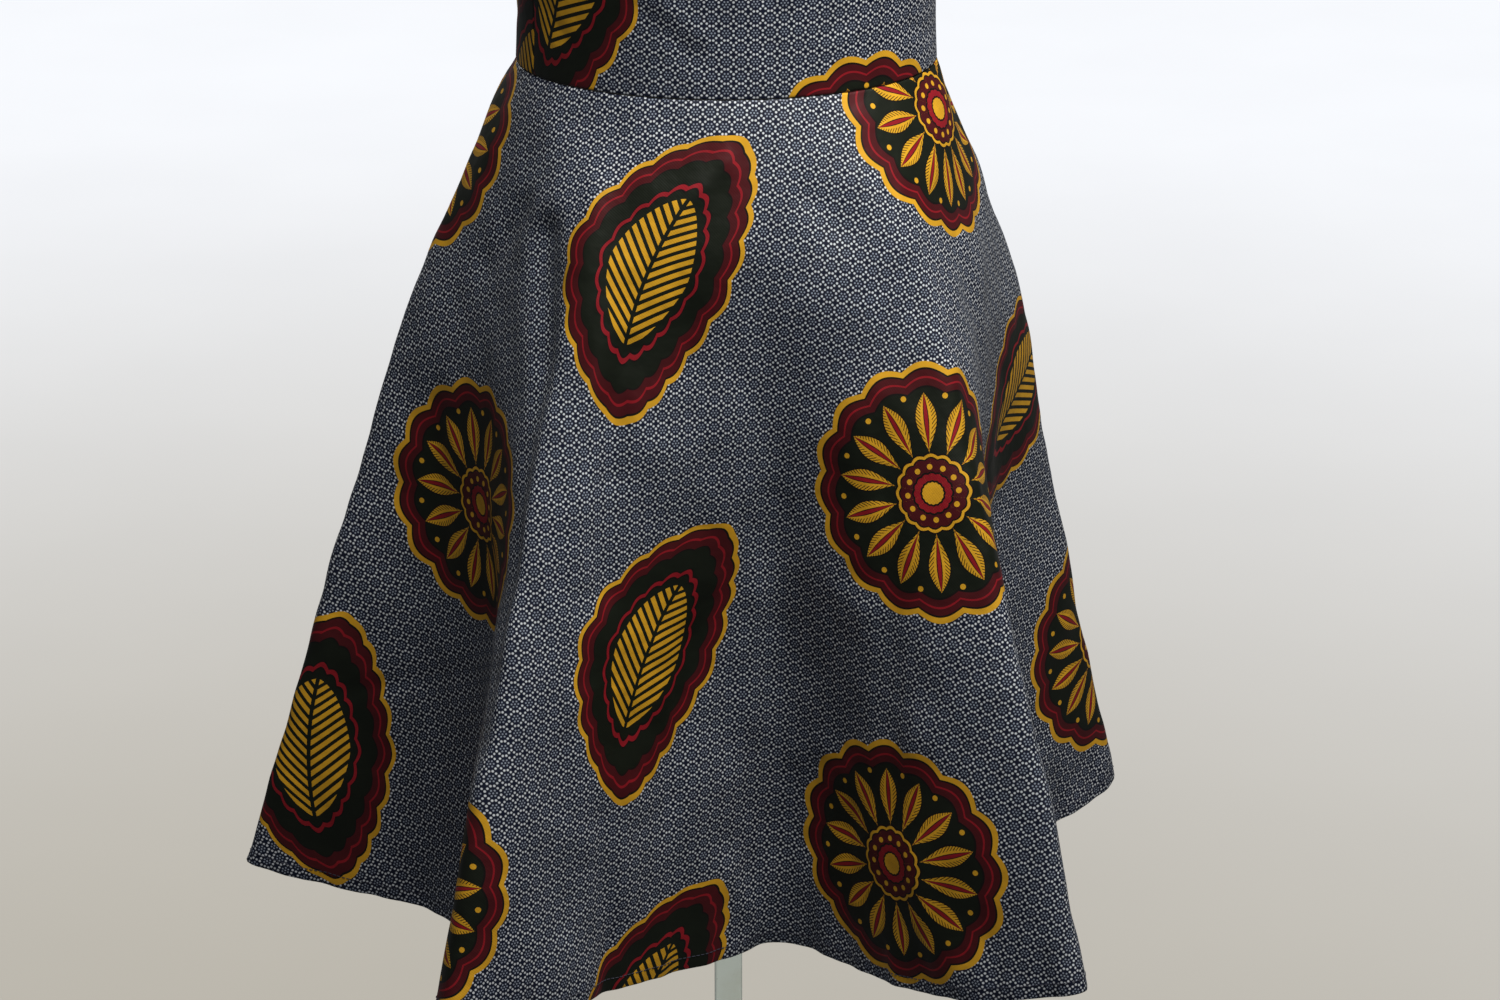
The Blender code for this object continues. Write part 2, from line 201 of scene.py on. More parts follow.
# Soft creases of the skirt. Angles are degrees on the flat cloth from the centre front
# towards the wearer's left, all else is millimetres, and a positive height stands out.
MILLIMETRE = 0.001
Crease = namedtuple("Crease", "angle down end_angle end_down width height")
SKIRT_CREASES = [
    Crease(1.8, 34, -1.7, 50, 6.5, 1.4),
    Crease(-1.7, 50, -4.6, 72, 7.0, 2.0),
    Crease(-4.6, 72, -6.0, 94, 7.0, 1.2),
    Crease(-7.0, 142, -7.7, 180, 8.5, -3.0),
    Crease(-7.7, 180, -7.4, 230, 9.0, -3.4),
    Crease(-7.4, 230, -7.0, 310, 10.0, -2.6),
    Crease(-8.6, 90, -9.8, 130, 8.5, 2.0),
    Crease(-9.8, 130, -10.2, 195, 9.5, 2.6),
    Crease(-10.2, 195, -9.5, 280, 11.0, 2.2),
    Crease(-19.0, 80, -16.6, 122, 12.5, -5.8),
    Crease(-16.6, 122, -14.6, 165, 11.0, -4.6),
    Crease(-14.6, 165, -14.9, 220, 11.0, -4.2),
    Crease(-14.9, 220, -14.6, 300, 11.5, -4.6),
    Crease(-14.6, 300, -13.5, 400, 11.5, -4.2),
    Crease(-13.0, 50, -11.8, 105, 9.5, 1.8),
    Crease(-11.8, 105, -11.4, 200, 10.5, 1.2),
    Crease(-22.0, 70, -27.5, 125, 11.0, -3.1),
    Crease(1.4, 264, -2.2, 254, 4.2, -1.2),
    Crease(-25.8, 378, -33.6, 421, 4.4, -1.3),
    Crease(14.8, 190, 13.6, 310, 10.5, -2.5),
    Crease(13.6, 310, 11.8, 460, 12.0, -2.2),
    Crease(20.4, 130, 19.0, 270, 12.0, 2.2),
    Crease(12.0, 356, 15.8, 370, 3.8, -0.7),
    Crease(9.2, 50, 13.9, 85, 9.0, -2.0),
    Crease(15.5, 42, 19.0, 105, 10.0, 2.2),
    Crease(4.2, 290, 3.0, 400, 10.5, 2.8),
    Crease(0.0, 310, -1.6, 425, 10.5, -2.8),
    Crease(-6.3, 420, -4.5, 530, 11.0, -3.0),
    Crease(1.4, 480, 3.6, 545, 8.5, 2.8),
    Crease(-9.4, 300, -6.6, 286, 8.5, -1.2),
    Crease(-4.6, 316, -2.2, 338, 9.5, 1.3),
    Crease(-9.0, 366, -6.8, 350, 8.0, 1.0),
    Crease(-6.0, 394, -3.4, 376, 9.0, -1.2),
    Crease(-8.6, 440, -6.2, 452, 9.5, 1.2),
    Crease(-3.8, 452, -1.2, 436, 8.5, -1.1),
    Crease(-1.4, 276, 1.0, 300, 8.5, 1.0),
    Crease(0.4, 352, 2.6, 366, 9.0, -1.1),
    Crease(5.4, 420, 7.6, 404, 8.5, 1.2),
    Crease(10.4, 286, 12.6, 300, 9.0, -1.4),
    Crease(15.2, 344, 17.4, 330, 9.0, 1.4),
    Crease(9.0, 440, 8.0, 535, 11.0, -2.0),
    Crease(12.9, 450, 14.2, 540, 10.0, 2.0),
    Crease(28.0, 120, 30.5, 250, 13.0, -2.5),
    Crease(36.0, 200, 37.5, 400, 13.0, 2.2),
    Crease(31.5, 424, 36.5, 402, 5.0, -1.2),
    Crease(-35.8, 330, -34.4, 450, 10.0, 2.0),
    Crease(-30.5, 200, -28.6, 330, 11.0, -2.2),
    Crease(-39.5, 140, -41.0, 330, 14.0, -2.5),
    Crease(52.0, 40, 55.0, 130, 16.0, -4.7),
    Crease(58.5, 200, 57.0, 380, 12.0, 2.5),
    Crease(64.0, 100, 66.0, 270, 12.0, -2.9),
    Crease(60.0, 462, 66.0, 430, 5.0, -1.3),
    Crease(71.0, 330, 69.0, 490, 11.0, -2.3),
    Crease(74.0, 60, 75.0, 160, 14.0, -3.2),
    Crease(46.5, 300, 48.0, 440, 11.0, 2.0),
    Crease(-48.0, 50, -51.0, 140, 16.0, -4.3),
    Crease(-50.0, 410, -44.0, 452, 5.0, -1.3),
    Crease(-55.0, 220, -54.0, 400, 12.0, 2.5),
    Crease(-62.0, 80, -61.0, 240, 12.0, -2.9),
    Crease(-68.0, 300, -70.0, 470, 12.0, -2.3),
    Crease(-73.0, 120, -72.0, 210, 14.0, 2.7),
]

# Drag lines of the waistband, in millimetres: distances round it from the centre back, and
# heights up it
Drag = namedtuple("Drag", "distance up end_distance end_up width height")
BAND_DRAGS = [
    Drag(411, 54, 373, 22, 5.0, -0.6),
    Drag(400, 60, 366, 34, 6.0, 0.9),
    Drag(340, 66, 312, 40, 5.5, -0.5),
    Drag(300, 26, 268, 40, 5.0, 0.7),
    Drag(452, 20, 478, 46, 5.0, -0.6),
    Drag(440, 58, 474, 70, 6.0, 0.7),
    Drag(196, 18, 236, 32, 6.0, -0.5),
    Drag(120, 60, 160, 36, 5.5, 0.7),
    Drag(60, 24, 98, 44, 5.0, -0.6),
    Drag(-50, 50, -88, 30, 5.5, -0.5),
    Drag(-104, 64, -140, 44, 6.0, 0.8),
    Drag(-160, 20, -196, 34, 5.0, -0.5),
]

# Gentle unevenness of the hanging cloth, as clouds of three sizes, taller than wide, and the
# ripples that the sewing leaves in its edges
Cloud = namedtuple("Cloud", "width height")
CLOTH_CLOUDS = [Cloud(0.052, 0.0026), Cloud(0.027, 0.0014), Cloud(0.015, 0.0007)]
CLOUD_STRETCH = 1.5
EdgeRipple = namedtuple("EdgeRipple", "length height start")
HEM_RIPPLES = [
    EdgeRipple(0.113, 0.0014, 0.4),
    EdgeRipple(0.067, 0.0011, 2.9),
    EdgeRipple(0.031, 0.0006, 1.7),
    EdgeRipple(0.017, 0.0003, 0.1),
]
HEM_RIPPLE_RISE = 0.060
WAIST_RIPPLES = [EdgeRipple(0.0130, 0.00016, 0.6), EdgeRipple(0.0205, 0.00014, 2.2)]
WAIST_RIPPLE_REACH = 0.010

# Print on the cloth, in metres of flat cloth
REPEAT_ACROSS = 0.370
REPEAT_DOWN = 0.236
FLOWER_AT = (0.150, -0.478)
FLOWER_RADIUS = 0.0780
SCALLOPS = 16
SCALLOP_DEPTH = 0.062
PETALS = 14
PETAL_HEEL = 0.0240
PETAL_LENGTH = 0.0355
PETAL_HALF_WIDTH = 0.0074
PETAL_LEAST_WIDTH = 0.00001
PETAL_FULLNESS = 1.25
PETAL_VEIN_PITCH = 0.0023
PETAL_VEIN_SLANT = 1.1
PETAL_VEIN_SHARE = 0.30
PETAL_VEINS_FROM = 0.46
CENTRE_BEADS = 12
CENTRE_BEAD_RING = 0.0158
FIELD_BEAD_RING = 0.0580
BEAD_RADIUS = 0.0017
LEAF_HALF_WIDTH = 0.050
LEAF_HALF_LENGTH = 0.092
LEAF_LEAN = 0.42
LEAF_BOW = 2.2
LEAF_ASIDE = 0.004
LEAF_POINT = 1.55
LEAF_SCALLOPS = 10.0
LEAF_TIP = 3.0
LEAF_HEART = 0.50
LEAF_RIB = 0.0012
LEAF_VEIN_PITCH = 0.0068
LEAF_VEIN_SLANT = 0.9
LEAF_VEIN_SHARE = 0.56

# Dyes of the print
MUSTARD = "#E8AE28"
MAROON = "#4E1016"
CRIMSON = "#981824"
INK = "#120E0C"
BOTTLE = "#141A10"
NAVY = "#131A30"
PALE_DOT = "#E0E6ED"
SMALL_DOT = "#A3ADBE"

# Chart of the dotted ground: a quarter of each kind of dot's ring, in pitches from its middle
DOT_PITCH = 0.0085
DOT_CRISPNESS = 0.02
Dot = namedtuple("Dot", "across down radius")
STAR_DOTS = [Dot(0.0, 0.353, 0.084), Dot(0.38, 0.0, 0.084), Dot(0.18, 0.17, 0.079)]
ROSETTE_DOTS = [Dot(0.0, 0.0, 0.060), Dot(0.23, 0.0, 0.060), Dot(0.115, 0.18, 0.060)]

# Bands of colour, from the middle of each motif outwards
Band = namedtuple("Band", "from_share colour")
FLOWER_BANDS = [
    Band(0.000, MUSTARD),
    Band(0.085, INK),
    Band(0.100, CRIMSON),
    Band(0.150, INK),
    Band(0.165, MAROON),
    Band(0.262, INK),
    Band(0.276, MUSTARD),
    Band(0.300, INK),
    Band(0.315, BOTTLE),
    Band(0.800, INK),
    Band(0.815, MAROON),
    Band(0.868, CRIMSON),
    Band(0.884, MAROON),
    Band(0.935, INK),
    Band(0.952, MUSTARD),
]
PETAL_BANDS = [
    Band(0.00, CRIMSON),
    Band(0.15, INK),
    Band(0.23, MUSTARD),
    Band(0.86, INK),
]
LEAF_BANDS = [
    Band(0.000, BOTTLE),
    Band(0.540, INK),
    Band(0.555, CRIMSON),
    Band(0.590, INK),
    Band(0.605, BOTTLE),
    Band(0.770, INK),
    Band(0.785, MAROON),
    Band(0.850, CRIMSON),
    Band(0.868, MAROON),
    Band(0.935, INK),
    Band(0.952, MUSTARD),
]

# Weave, knit and wood. Threads lie 0.35 mm apart in the real cloth and wales 0.8 mm in the real
# jersey; the pitches here are the finest that show in the render.
WEAVE_PITCH = 0.0009
THREAD_SHARE = 0.25
PUCKER_SHARE = 6.0
WALE_PITCH = 0.0016
COURSE_PITCH = 0.0014
COURSE_SHARE = 0.35
WOOD_HEART_ASIDE = 0.035
WOOD_RING = 0.0025
WOOD_WANDER = 0.006
WOOD_FLECKS_PER_METRE = (1400, 1400, 260)

# Floor, lamps and camera
FLOOR_SIDES = 96
FLOOR_RADIUS = 12.0
FLOOR_SWEEP = np.radians(np.arange(-90, -14, 5))
# Painted shade on the floor: the paper's colour is grey round this place and pales between these
# distances from it
PAINTED_SHADE_MIDDLE = (-0.35, -0.15, 0.0)
PAINTED_SHADE_FADES_FROM = 0.6
PAINTED_SHADE_GONE_AT = 4.1
Disk = namedtuple("Disk", "name size power place towards")
KEY = Disk("key", 0.9, 24.5, (0.364, -0.519, 2.159), (0.0, 0.0, 0.80))
BACK_KEY = Disk("back key", 0.9, 24.0, (-0.6, 1.8, 2.1), (0.0, 0.0, 0.80))
LOW_FILL = Disk("low fill", 1.2, 18.0, (0.5, -1.9, 0.35), (0.0, 0.0, 0.45))
FLOOR_LIGHT = 3.15
FLOOR_LIGHT_SPREAD = 40
FLOOR_LIGHT_HEIGHT = 5.0
SKY_STRENGTH = 0.102
CAMERA_PLACE = (0.0, -2.334, 1.664)
CAMERA_TURN = (68.90, 0.0, -0.349)
CAMERA_SENSOR = 36.0
CAMERA_LENS = 95.66


def hermite(w, span, start, start_slope, end, end_slope):
    """Smooth curve between two values with these slopes, at a share w of the span."""
    near = (2 * w**3 - 3 * w**2 + 1) * start + (w**3 - 2 * w**2 + w) * span * start_slope
    far = (3 * w**2 - 2 * w**3) * end + (w**3 - w**2) * span * end_slope
    return near + far


def smooth_table(places, values, wanted):
    """Values of a smooth curve through a short table, with three-point slopes."""
    span = np.diff(places)
    rise = np.diff(values) / span
    slope = np.empty(len(places))
    slope[1:-1] = (rise[:-1] * span[1:] + rise[1:] * span[:-1]) / (span[:-1] + span[1:])
    slope[0] = 1.5 * rise[0] - 0.5 * slope[1]
    slope[-1] = 1.5 * rise[-1] - 0.5 * slope[-2]
    i = np.clip(np.searchsorted(places, wanted, side="right") - 1, 0, len(span) - 1)
    w = (wanted - places[i]) / span[i]
    return hermite(w, span[i], values[i], slope[i], values[i + 1], slope[i + 1])


def ring_sizes(rings, wanted):
    """Each size of a table of rings, at these places along it."""
    places, *sizes = np.array(rings).T
    return [smooth_table(places, size, wanted) for size in sizes]


def closed_curve(corners):
    """Smooth closed curve through the corners, evenly spaced along their chords."""
    before = np.roll(corners, 1, axis=0)
    after = np.roll(corners, -1, axis=0)
    chord = np.linalg.norm(after - corners, axis=1)
    chord_before = np.roll(chord, 1)
    slope_in = (corners - before) / chord_before[:, None]
    slope_out = (after - corners) / chord[:, None]
    slope = slope_in * chord[:, None] + slope_out * chord_before[:, None]
    slope /= (chord + chord_before)[:, None]
    knots = np.concatenate([[0], np.cumsum(chord)])
    place = np.linspace(0, knots[-1], RING_POINTS, endpoint=False)
    i = np.clip(np.searchsorted(knots, place, side="right") - 1, 0, len(corners) - 1)
    j = (i + 1) % len(corners)
    w = ((place - knots[i]) / chord[i])[:, None]
    return hermite(w, chord[i][:, None], corners[i], slope[i], corners[j], slope[j])


def ellipse(half_width, half_depth):
    """Ring that starts at the centre back and runs over +X, the front and -X."""
    turn = np.linspace(0, 2 * np.pi, RING_POINTS, endpoint=False)
    return np.stack([half_width * np.sin(turn), half_depth * np.cos(turn)], axis=1)


def arc_lengths(curve):
    step = np.linalg.norm(np.roll(curve, -1, axis=0) - curve, axis=1)
    return np.concatenate([[0], np.cumsum(step)])


def along(curve, fractions):
    """Points at these fractions of a closed curve's own length."""
    lengths = arc_lengths(curve)
    closed = np.vstack([curve, curve[:1]])
    place = (np.asarray(fractions) % 1.0) * lengths[-1]
    return np.stack([np.interp(place, lengths, closed[:, axis]) for axis in (0, 1)], axis=-1)


def hem_curve():
    """Plan of the hem through the folds, started where it crosses the centre back."""
    turn = np.radians([fold.azimuth for fold in FOLDS])
    reach = np.array([fold.reach for fold in FOLDS])
    curve = closed_curve(np.stack([reach * np.sin(turn), -reach * np.cos(turn)], axis=1))
    at_back = np.where(curve[:, 1] > 0, np.abs(curve[:, 0]), 1.0)
    return np.roll(curve, -int(np.argmin(at_back)), axis=0)


def skirt_rings():
    """Plan of each level: the ellipse there, pushed towards the hem's folds."""
    every = np.arange(RING_POINTS) / RING_POINTS
    down = np.linspace(0, SKIRT_LENGTH, LEVELS + 1)
    widths, depths, folded = ring_sizes(SKIRT_RINGS, down)
    push = along(hem_curve(), every) - along(ellipse(widths[-1], depths[-1]), every)
    rings = []
    for width, depth, share in zip(widths, depths, folded):
        rings.append(along(ellipse(width, depth), every) + share * push)
    return rings


def skirt_surface(rings, fractions):
    """Points for fractions[level, column]: each line keeps its true length down the cloth."""
    plan = np.stack([along(ring, row) for ring, row in zip(rings, fractions)])
    step = SKIRT_LENGTH / LEVELS
    run = np.linalg.norm(np.diff(plan, axis=0), axis=2)
    fall = np.cumsum(np.sqrt(step**2 - run**2), axis=0)
    height = WAIST_HEIGHT - SEAM_GAP / 2 - np.vstack([np.zeros(plan.shape[1]), fall])
    return np.concatenate([plan, height[:, :, None]], axis=2)


def unit(vectors):
    """Vectors scaled to length one."""
    return vectors / np.maximum(np.linalg.norm(vectors, axis=-1, keepdims=True), 1e-12)


def eased(share):
    """Smooth step from 0 to 1."""
    share = np.clip(share, 0, 1)
    return share * share * (3 - 2 * share)


def smooth_rows(grid, level):
    """Grid of the even levels read at other lengths down, on smooth curves down each line."""
    step = SKIRT_LENGTH / LEVELS
    slope = np.gradient(grid, step, axis=0)
    i = np.clip((level / step).astype(int), 0, LEVELS - 1)
    w = (level / step - i)[:, None, None]
    return hermite(w, step, grid[i], slope[i], grid[i + 1], slope[i + 1])


def normals_of(points):
    """Outward unit normals of a grid whose rows run down and whose columns run round."""
    return unit(np.cross(np.gradient(points, axis=1), np.gradient(points, axis=0)))


def soft_line(places, start, end, width, height):
    """Height of one soft crease, full along its middle and gone a little past its ends."""
    line = np.asarray(end) - np.asarray(start)
    length = np.linalg.norm(line)
    heading = line / length
    away = places - np.asarray(start)
    share = (away @ heading) / length
    off = away @ np.array([-heading[1], heading[0]])
    fade = eased(np.minimum(share, 1 - share) / CREASE_TAPER + 0.5)
    return height * fade * np.exp(-((off / width) ** 2))


def flat_place(turn, down):
    """Place on the flat cloth, from the middle of the ring that it is cut from."""
    radius = WAIST_RADIUS + down
    return np.stack([radius * np.sin(turn), -radius * np.cos(turn)], axis=-1)


def clouds(places):
    """Smooth cloudy values from -1 to 1, a cloud to each unit of length."""
    values = [noise_at((x, y, 0.5)) for x, y in places.reshape(-1, 2)]
    return np.array(values).reshape(places.shape[:-1])


def rippled(run, ripples):
    """Height of the ripples of a sewn edge, at these lengths along it."""
    waves = [np.sin(2 * np.pi * run / ripple.length + ripple.start) for ripple in ripples]
    return sum(ripple.height * wave for ripple, wave in zip(ripples, waves))


def skirt_relief(share, level, hem_length):
    """How far the cloth stands off the smooth folds: creases, ripples and sewn edges."""
    places = flat_place((GRAIN_AT - share) * SECTOR, level)
    height = np.zeros(share.shape)
    for crease in SKIRT_CREASES:
        start = flat_place(np.radians(crease.angle), crease.down * MILLIMETRE)
        end = flat_place(np.radians(crease.end_angle), crease.end_down * MILLIMETRE)
        size = (crease.width * MILLIMETRE, crease.height * MILLIMETRE)
        height += soft_line(places, start, end, *size)
    for cloud in CLOTH_CLOUDS:
        height += cloud.height * clouds(places / (cloud.width * np.array([1, CLOUD_STRETCH])))
    near_hem = eased(1 - (SKIRT_LENGTH - level) / HEM_RIPPLE_RISE)
    height += rippled(share * hem_length, HEM_RIPPLES) * near_hem
    height *= eased(level / WAIST_CALM)
    near_waist = 1 - eased(level / WAIST_RIPPLE_REACH)
    height += rippled(share * WAIST_ROUND, WAIST_RIPPLES) * near_waist
    return height * eased(np.minimum(share, 1 - share) * hem_length / BACK_CALM)


def rolled_in(distance, roll, depth):
    """How far cloth turns in at a sewn edge, by its distance from the edge."""
    share = np.clip(1 - distance / roll, 0, 1)
    return depth * (1 - np.sqrt(1 - 0.999 * share**2))


def add_mesh(name, points, faces, material, smooth_below=180, flat=None):
    """Mesh object, smooth where its faces meet below an angle; flat holds the flat-cloth place
    of each face's corners in turn."""
    data = bpy.data.meshes.new(name)
    data.from_pydata(points, [], faces)
    data.materials.append(material)
    data.shade_smooth()
    data.set_sharp_from_angle(angle=np.radians(smooth_below))
    if flat is not None:
        layer = data.uv_layers.new(name="flat cloth")
        layer.data.foreach_set("uv", flat.astype(np.float32).ravel())
    thing = bpy.data.objects.new(name, data)
    bpy.context.scene.collection.objects.link(thing)
    return thing


def add_shell(name, middle, normal, thickness, flat, material):
    """Closed thin shell round a grid of middle points; flat holds its flat-cloth places."""
    rows, columns = middle.shape[:2]
    count = rows * columns
    half = np.broadcast_to(thickness, (rows, columns))[:, :, None] / 2
    points = np.concatenate([middle + normal * half, middle - normal * half]).reshape(-1, 3)
    index = np.arange(count).reshape(rows, columns)
    outer = [index[:-1, :-1], index[:-1, 1:], index[1:, 1:], index[1:, :-1]]
    inner = [outer[corner] + count for corner in (0, 3, 2, 1)]
    edge = np.concatenate([index[:-1, 0], index[-1, :-1], index[:0:-1, -1], index[0, :0:-1]])
    ahead = np.roll(edge, -1)
    rim = [edge, ahead, ahead + count, edge + count]
    quads = [np.stack([corner.ravel() for corner in part], axis=1) for part in (outer, inner, rim)]
    faces = np.vstack(quads)
    corners = flat.reshape(-1, 2)[faces.ravel() % count]
    return add_mesh(name, points, faces, material, flat=corners)


def ring_quads(rings, sides, first=0):
    """Faces between rings of points, each of which follows the one before."""
    quads = []
    for low in range(first, first + (rings - 1) * sides, sides):
        for j in range(sides):
            k = (j + 1) % sides
            quads.append((low + j, low + k, low + sides + k, low + sides + j))
    return quads


def add_threads(name, centres, outward, radius, material):
    """Short bent threads in one mesh: centres[thread, place] with the way out at each."""
    along_thread = unit(np.gradient(centres, axis=1))
    side = unit(np.cross(along_thread, outward))[:, :, None]
    up = np.cross(side, along_thread[:, :, None])
    turn = np.linspace(0, 2 * np.pi, THREAD_SIDES, endpoint=False)[:, None]
    count, places = centres.shape[:2]
    reach = np.full((places, 1, 1), radius)
    reach[[0, -1]] *= THREAD_TIP
    points = centres[:, :, None] + reach * (np.cos(turn) * up + np.sin(turn) * side)
    faces = []
    for first in range(0, count * places * THREAD_SIDES, places * THREAD_SIDES):
        last = first + (places - 1) * THREAD_SIDES
        faces += ring_quads(places, THREAD_SIDES, first)
        faces.append(range(first + THREAD_SIDES - 1, first - 1, -1))
        faces.append(range(last, last + THREAD_SIDES))
    return add_mesh(name, points.reshape(-1, 3), faces, material, smooth_below=80)


def linear(code):
    """Linear red, green, blue and alpha of an sRGB hex value."""
    parts = [int(code[i : i + 2], 16) / 255 for i in (1, 3, 5)]
    return tuple(c / 12.92 if c <= 0.04045 else ((c + 0.055) / 1.055) ** 2.4 for c in parts) + (1.0,)


def worked_out(operation):
    """Method that works out one sign of a formula between wires and numbers."""
    return lambda *values: put(values[0].tree, "Math", dict(enumerate(values)), operation=operation)


class Wire:
    """Output of a node. The patterns below are formulas of wires, worked out sign by sign."""

    __abs__ = worked_out("ABSOLUTE")
    __add__ = worked_out("ADD")
    __sub__ = worked_out("SUBTRACT")
    __mul__ = worked_out("MULTIPLY")
    __truediv__ = worked_out("DIVIDE")
    __mod__ = worked_out("FLOORED_MODULO")
    __pow__ = worked_out("POWER")
    __lt__ = worked_out("LESS_THAN")
    __gt__ = worked_out("GREATER_THAN")
    sine = worked_out("SINE")
    cosine = worked_out("COSINE")
    angle_from = worked_out("ARCTAN2")
    at_least = worked_out("MAXIMUM")
    at_most = worked_out("MINIMUM")

    def __init__(self, socket):
        self.socket = socket
        self.tree = socket.id_data


def put(tree, kind, inputs=None, gives=0, **settings):
    """Adds one node, sets it up and gives one of its outputs, or more if gives names more.

    An input is a wire to link, a hex colour or a plain value.
    """
    node = tree.nodes.new("ShaderNode" + kind)
    for key, value in settings.items():
        setattr(node, key, value)
    for key, value in (inputs or {}).items():
        if isinstance(value, Wire):
            tree.links.new(value.socket, node.inputs[key])
        else:
            node.inputs[key].default_value = linear(value) if isinstance(value, str) else value
    if isinstance(gives, tuple):
        return [Wire(node.outputs[key]) for key in gives]
    return Wire(node.outputs[gives])


def new_material(name, on_cloth=False, **constants):
    """Principled material and the places of its pattern, in metres on the flat cloth or on the
    object; constants go on the shader's own sockets."""
    material = bpy.data.materials.new(name)
    material.use_nodes = True
    tree = material.node_tree
    for key, value in constants.items():
        tree.nodes["Principled BSDF"].inputs[key.replace("_", " ")].default_value = value
    if on_cloth:
        return material, put(tree, "UVMap", uv_map="flat cloth")
    return material, put(tree, "TexCoord", gives="Object")


def finish(material, colour, tone, relief=None, reach=0.0, strength=1.0, roughness=None):
    """Links the colour, lighter and darker by its tone, a relief of which 1 stands out by its
    reach, and the roughness to the shader. Gives the material."""
    tree = material.node_tree
    made = {"Base Color": put(tree, "VectorMath", {0: colour, 1: tone}, operation="MULTIPLY")}
    if relief is not None:
        made["Normal"] = put(
            tree, "Bump", {"Height": relief, "Distance": reach, "Strength": strength}
        )
    if roughness is not None:
        made["Roughness"] = roughness
    for key, wire in made.items():
        tree.links.new(wire.socket, tree.nodes["Principled BSDF"].inputs[key])
    return material


def cloudy(place, size, low=None, high=None, detail=3.0, start=0.3, end=0.7):
    """Clouds of about this size: values round 0.5, or those from start to end made to run from
    low to high."""
    scale = {"Vector": place, "Scale": 1 / size, "Detail": detail}
    values = put(place.tree, "TexNoise", scale)
    if low is None:
        return values
    limits = {"From Min": start, "From Max": end, "To Min": low, "To Max": high}
    return put(place.tree, "MapRange", {0: values, **limits})


def layered(colour, *layers):
    """Colour under layers, each a mask and the colour that shows where the mask is 1."""
    for mask, above in layers:
        inputs = {0: mask, 6: colour, 7: above}
        colour = put(mask.tree, "Mix", inputs, gives=2, data_type="RGBA")
    return colour


def banded(share, bands):
    """Colour bands with crisp edges: each starts at its share."""
    colour = put(share.tree, "ValToRGB", {0: share})
    ramp = colour.socket.node.color_ramp
    ramp.interpolation = "CONSTANT"
    for number, band in enumerate(bands):
        if number < 2:
            ramp.elements[number].position = band.from_share
        else:
            ramp.elements.new(band.from_share)
        ramp.elements[number].color = linear(band.colour)
    return colour


def in_repeat(place, centre, across, down):
    """Place inside one repeat of a pattern, measured from the repeat's centre."""
    moved = put(place.tree, "VectorMath", {0: place, 1: (*centre, 0.0)}, operation="SUBTRACT")
    limits = {1: (across / 2, down / 2, 1.0), 2: (-across / 2, -down / 2, -1.0)}
    return put(place.tree, "VectorMath", {0: moved, **limits}, operation="WRAP")


def dotted_ground(place):
    """Common ground of the print: rings of pale dots, and rosettes of finer ones between."""
    tree = place.tree
    colour = NAVY
    for shift, dots, dye in ((0.0, STAR_DOTS, PALE_DOT), (0.5, ROSETTE_DOTS, SMALL_DOT)):
        middle = (shift * DOT_PITCH, shift * DOT_PITCH)
        cell = in_repeat(place, middle, DOT_PITCH, DOT_PITCH)
        quarter = put(tree, "VectorMath", {0: cell}, operation="ABSOLUTE")
        nearest = None
        for dot in dots:
            centre = (dot.across * DOT_PITCH, dot.down * DOT_PITCH, 0.0)
            inputs = {0: quarter, 1: centre}
            past = put(tree, "VectorMath", inputs, "Value", operation="DISTANCE")
            past = past - dot.radius * DOT_PITCH
            nearest = nearest.at_most(past) if nearest else past
        blur = DOT_CRISPNESS * DOT_PITCH
        limits = {"From Min": -blur, "From Max": blur, "To Min": 1.0, "To Max": 0.0}
        colour = layered(colour, (put(tree, "MapRange", {0: nearest, **limits}), dye))
    return colour


def nearest_ray(radius, turn, count, shift):
    """Distances along and aside from the nearest of the rays set evenly round a circle."""
    share = (turn * (count / (2 * np.pi)) + shift) % 1.0 - 0.5
    angle = share * (2 * np.pi / count)
    return radius * angle.cosine(), radius * angle.sine()


def ring_of_beads(radius, turn, count, ring):
    """Mask of round beads, evenly set round a circle."""
    out, aside = nearest_ray(radius, turn, count, 0.0)
    past = out - ring
    return past * past + aside * aside < BEAD_RADIUS**2


def flower(place, below):
    """Round flower: scalloped rim, maroon border, dark field, beads and veined petals."""
    cell = in_repeat(place, FLOWER_AT, REPEAT_ACROSS, REPEAT_DOWN)
    x, y = put(place.tree, "SeparateXYZ", {0: cell}, (0, 1))
    radius = (x * x + y * y) ** 0.5
    turn = y.angle_from(x)
    scallop = abs((turn * (SCALLOPS / 2)).sine())
    reach = radius / (FLOWER_RADIUS * (1 - SCALLOP_DEPTH))
    rim = reach * (scallop * -SCALLOP_DEPTH + 1.0)
    out, aside = nearest_ray(radius, turn, PETALS, 0.5)
    aside = abs(aside)
    share = ((out - PETAL_HEEL) / PETAL_LENGTH).at_least(0.0) ** PETAL_FULLNESS
    swell = (share * np.pi).sine() * PETAL_HALF_WIDTH
    across = aside / swell.at_least(PETAL_LEAST_WIDTH)
    vein_lines = (out - aside * PETAL_VEIN_SLANT) / PETAL_VEIN_PITCH % 1.0
    veins = (vein_lines < PETAL_VEIN_SHARE) * (across > PETAL_VEINS_FROM)
    petal = layered(banded(across, PETAL_BANDS), (veins, INK))
    whole = layered(
        banded(rim, FLOWER_BANDS),
        (ring_of_beads(radius, turn, CENTRE_BEADS, CENTRE_BEAD_RING), MUSTARD),
        (ring_of_beads(radius, turn, PETALS, FIELD_BEAD_RING), MUSTARD),
        ((across < 1.0) * (share < 1.0), petal),
    )
    return layered(below, (rim < 1.0, whole))


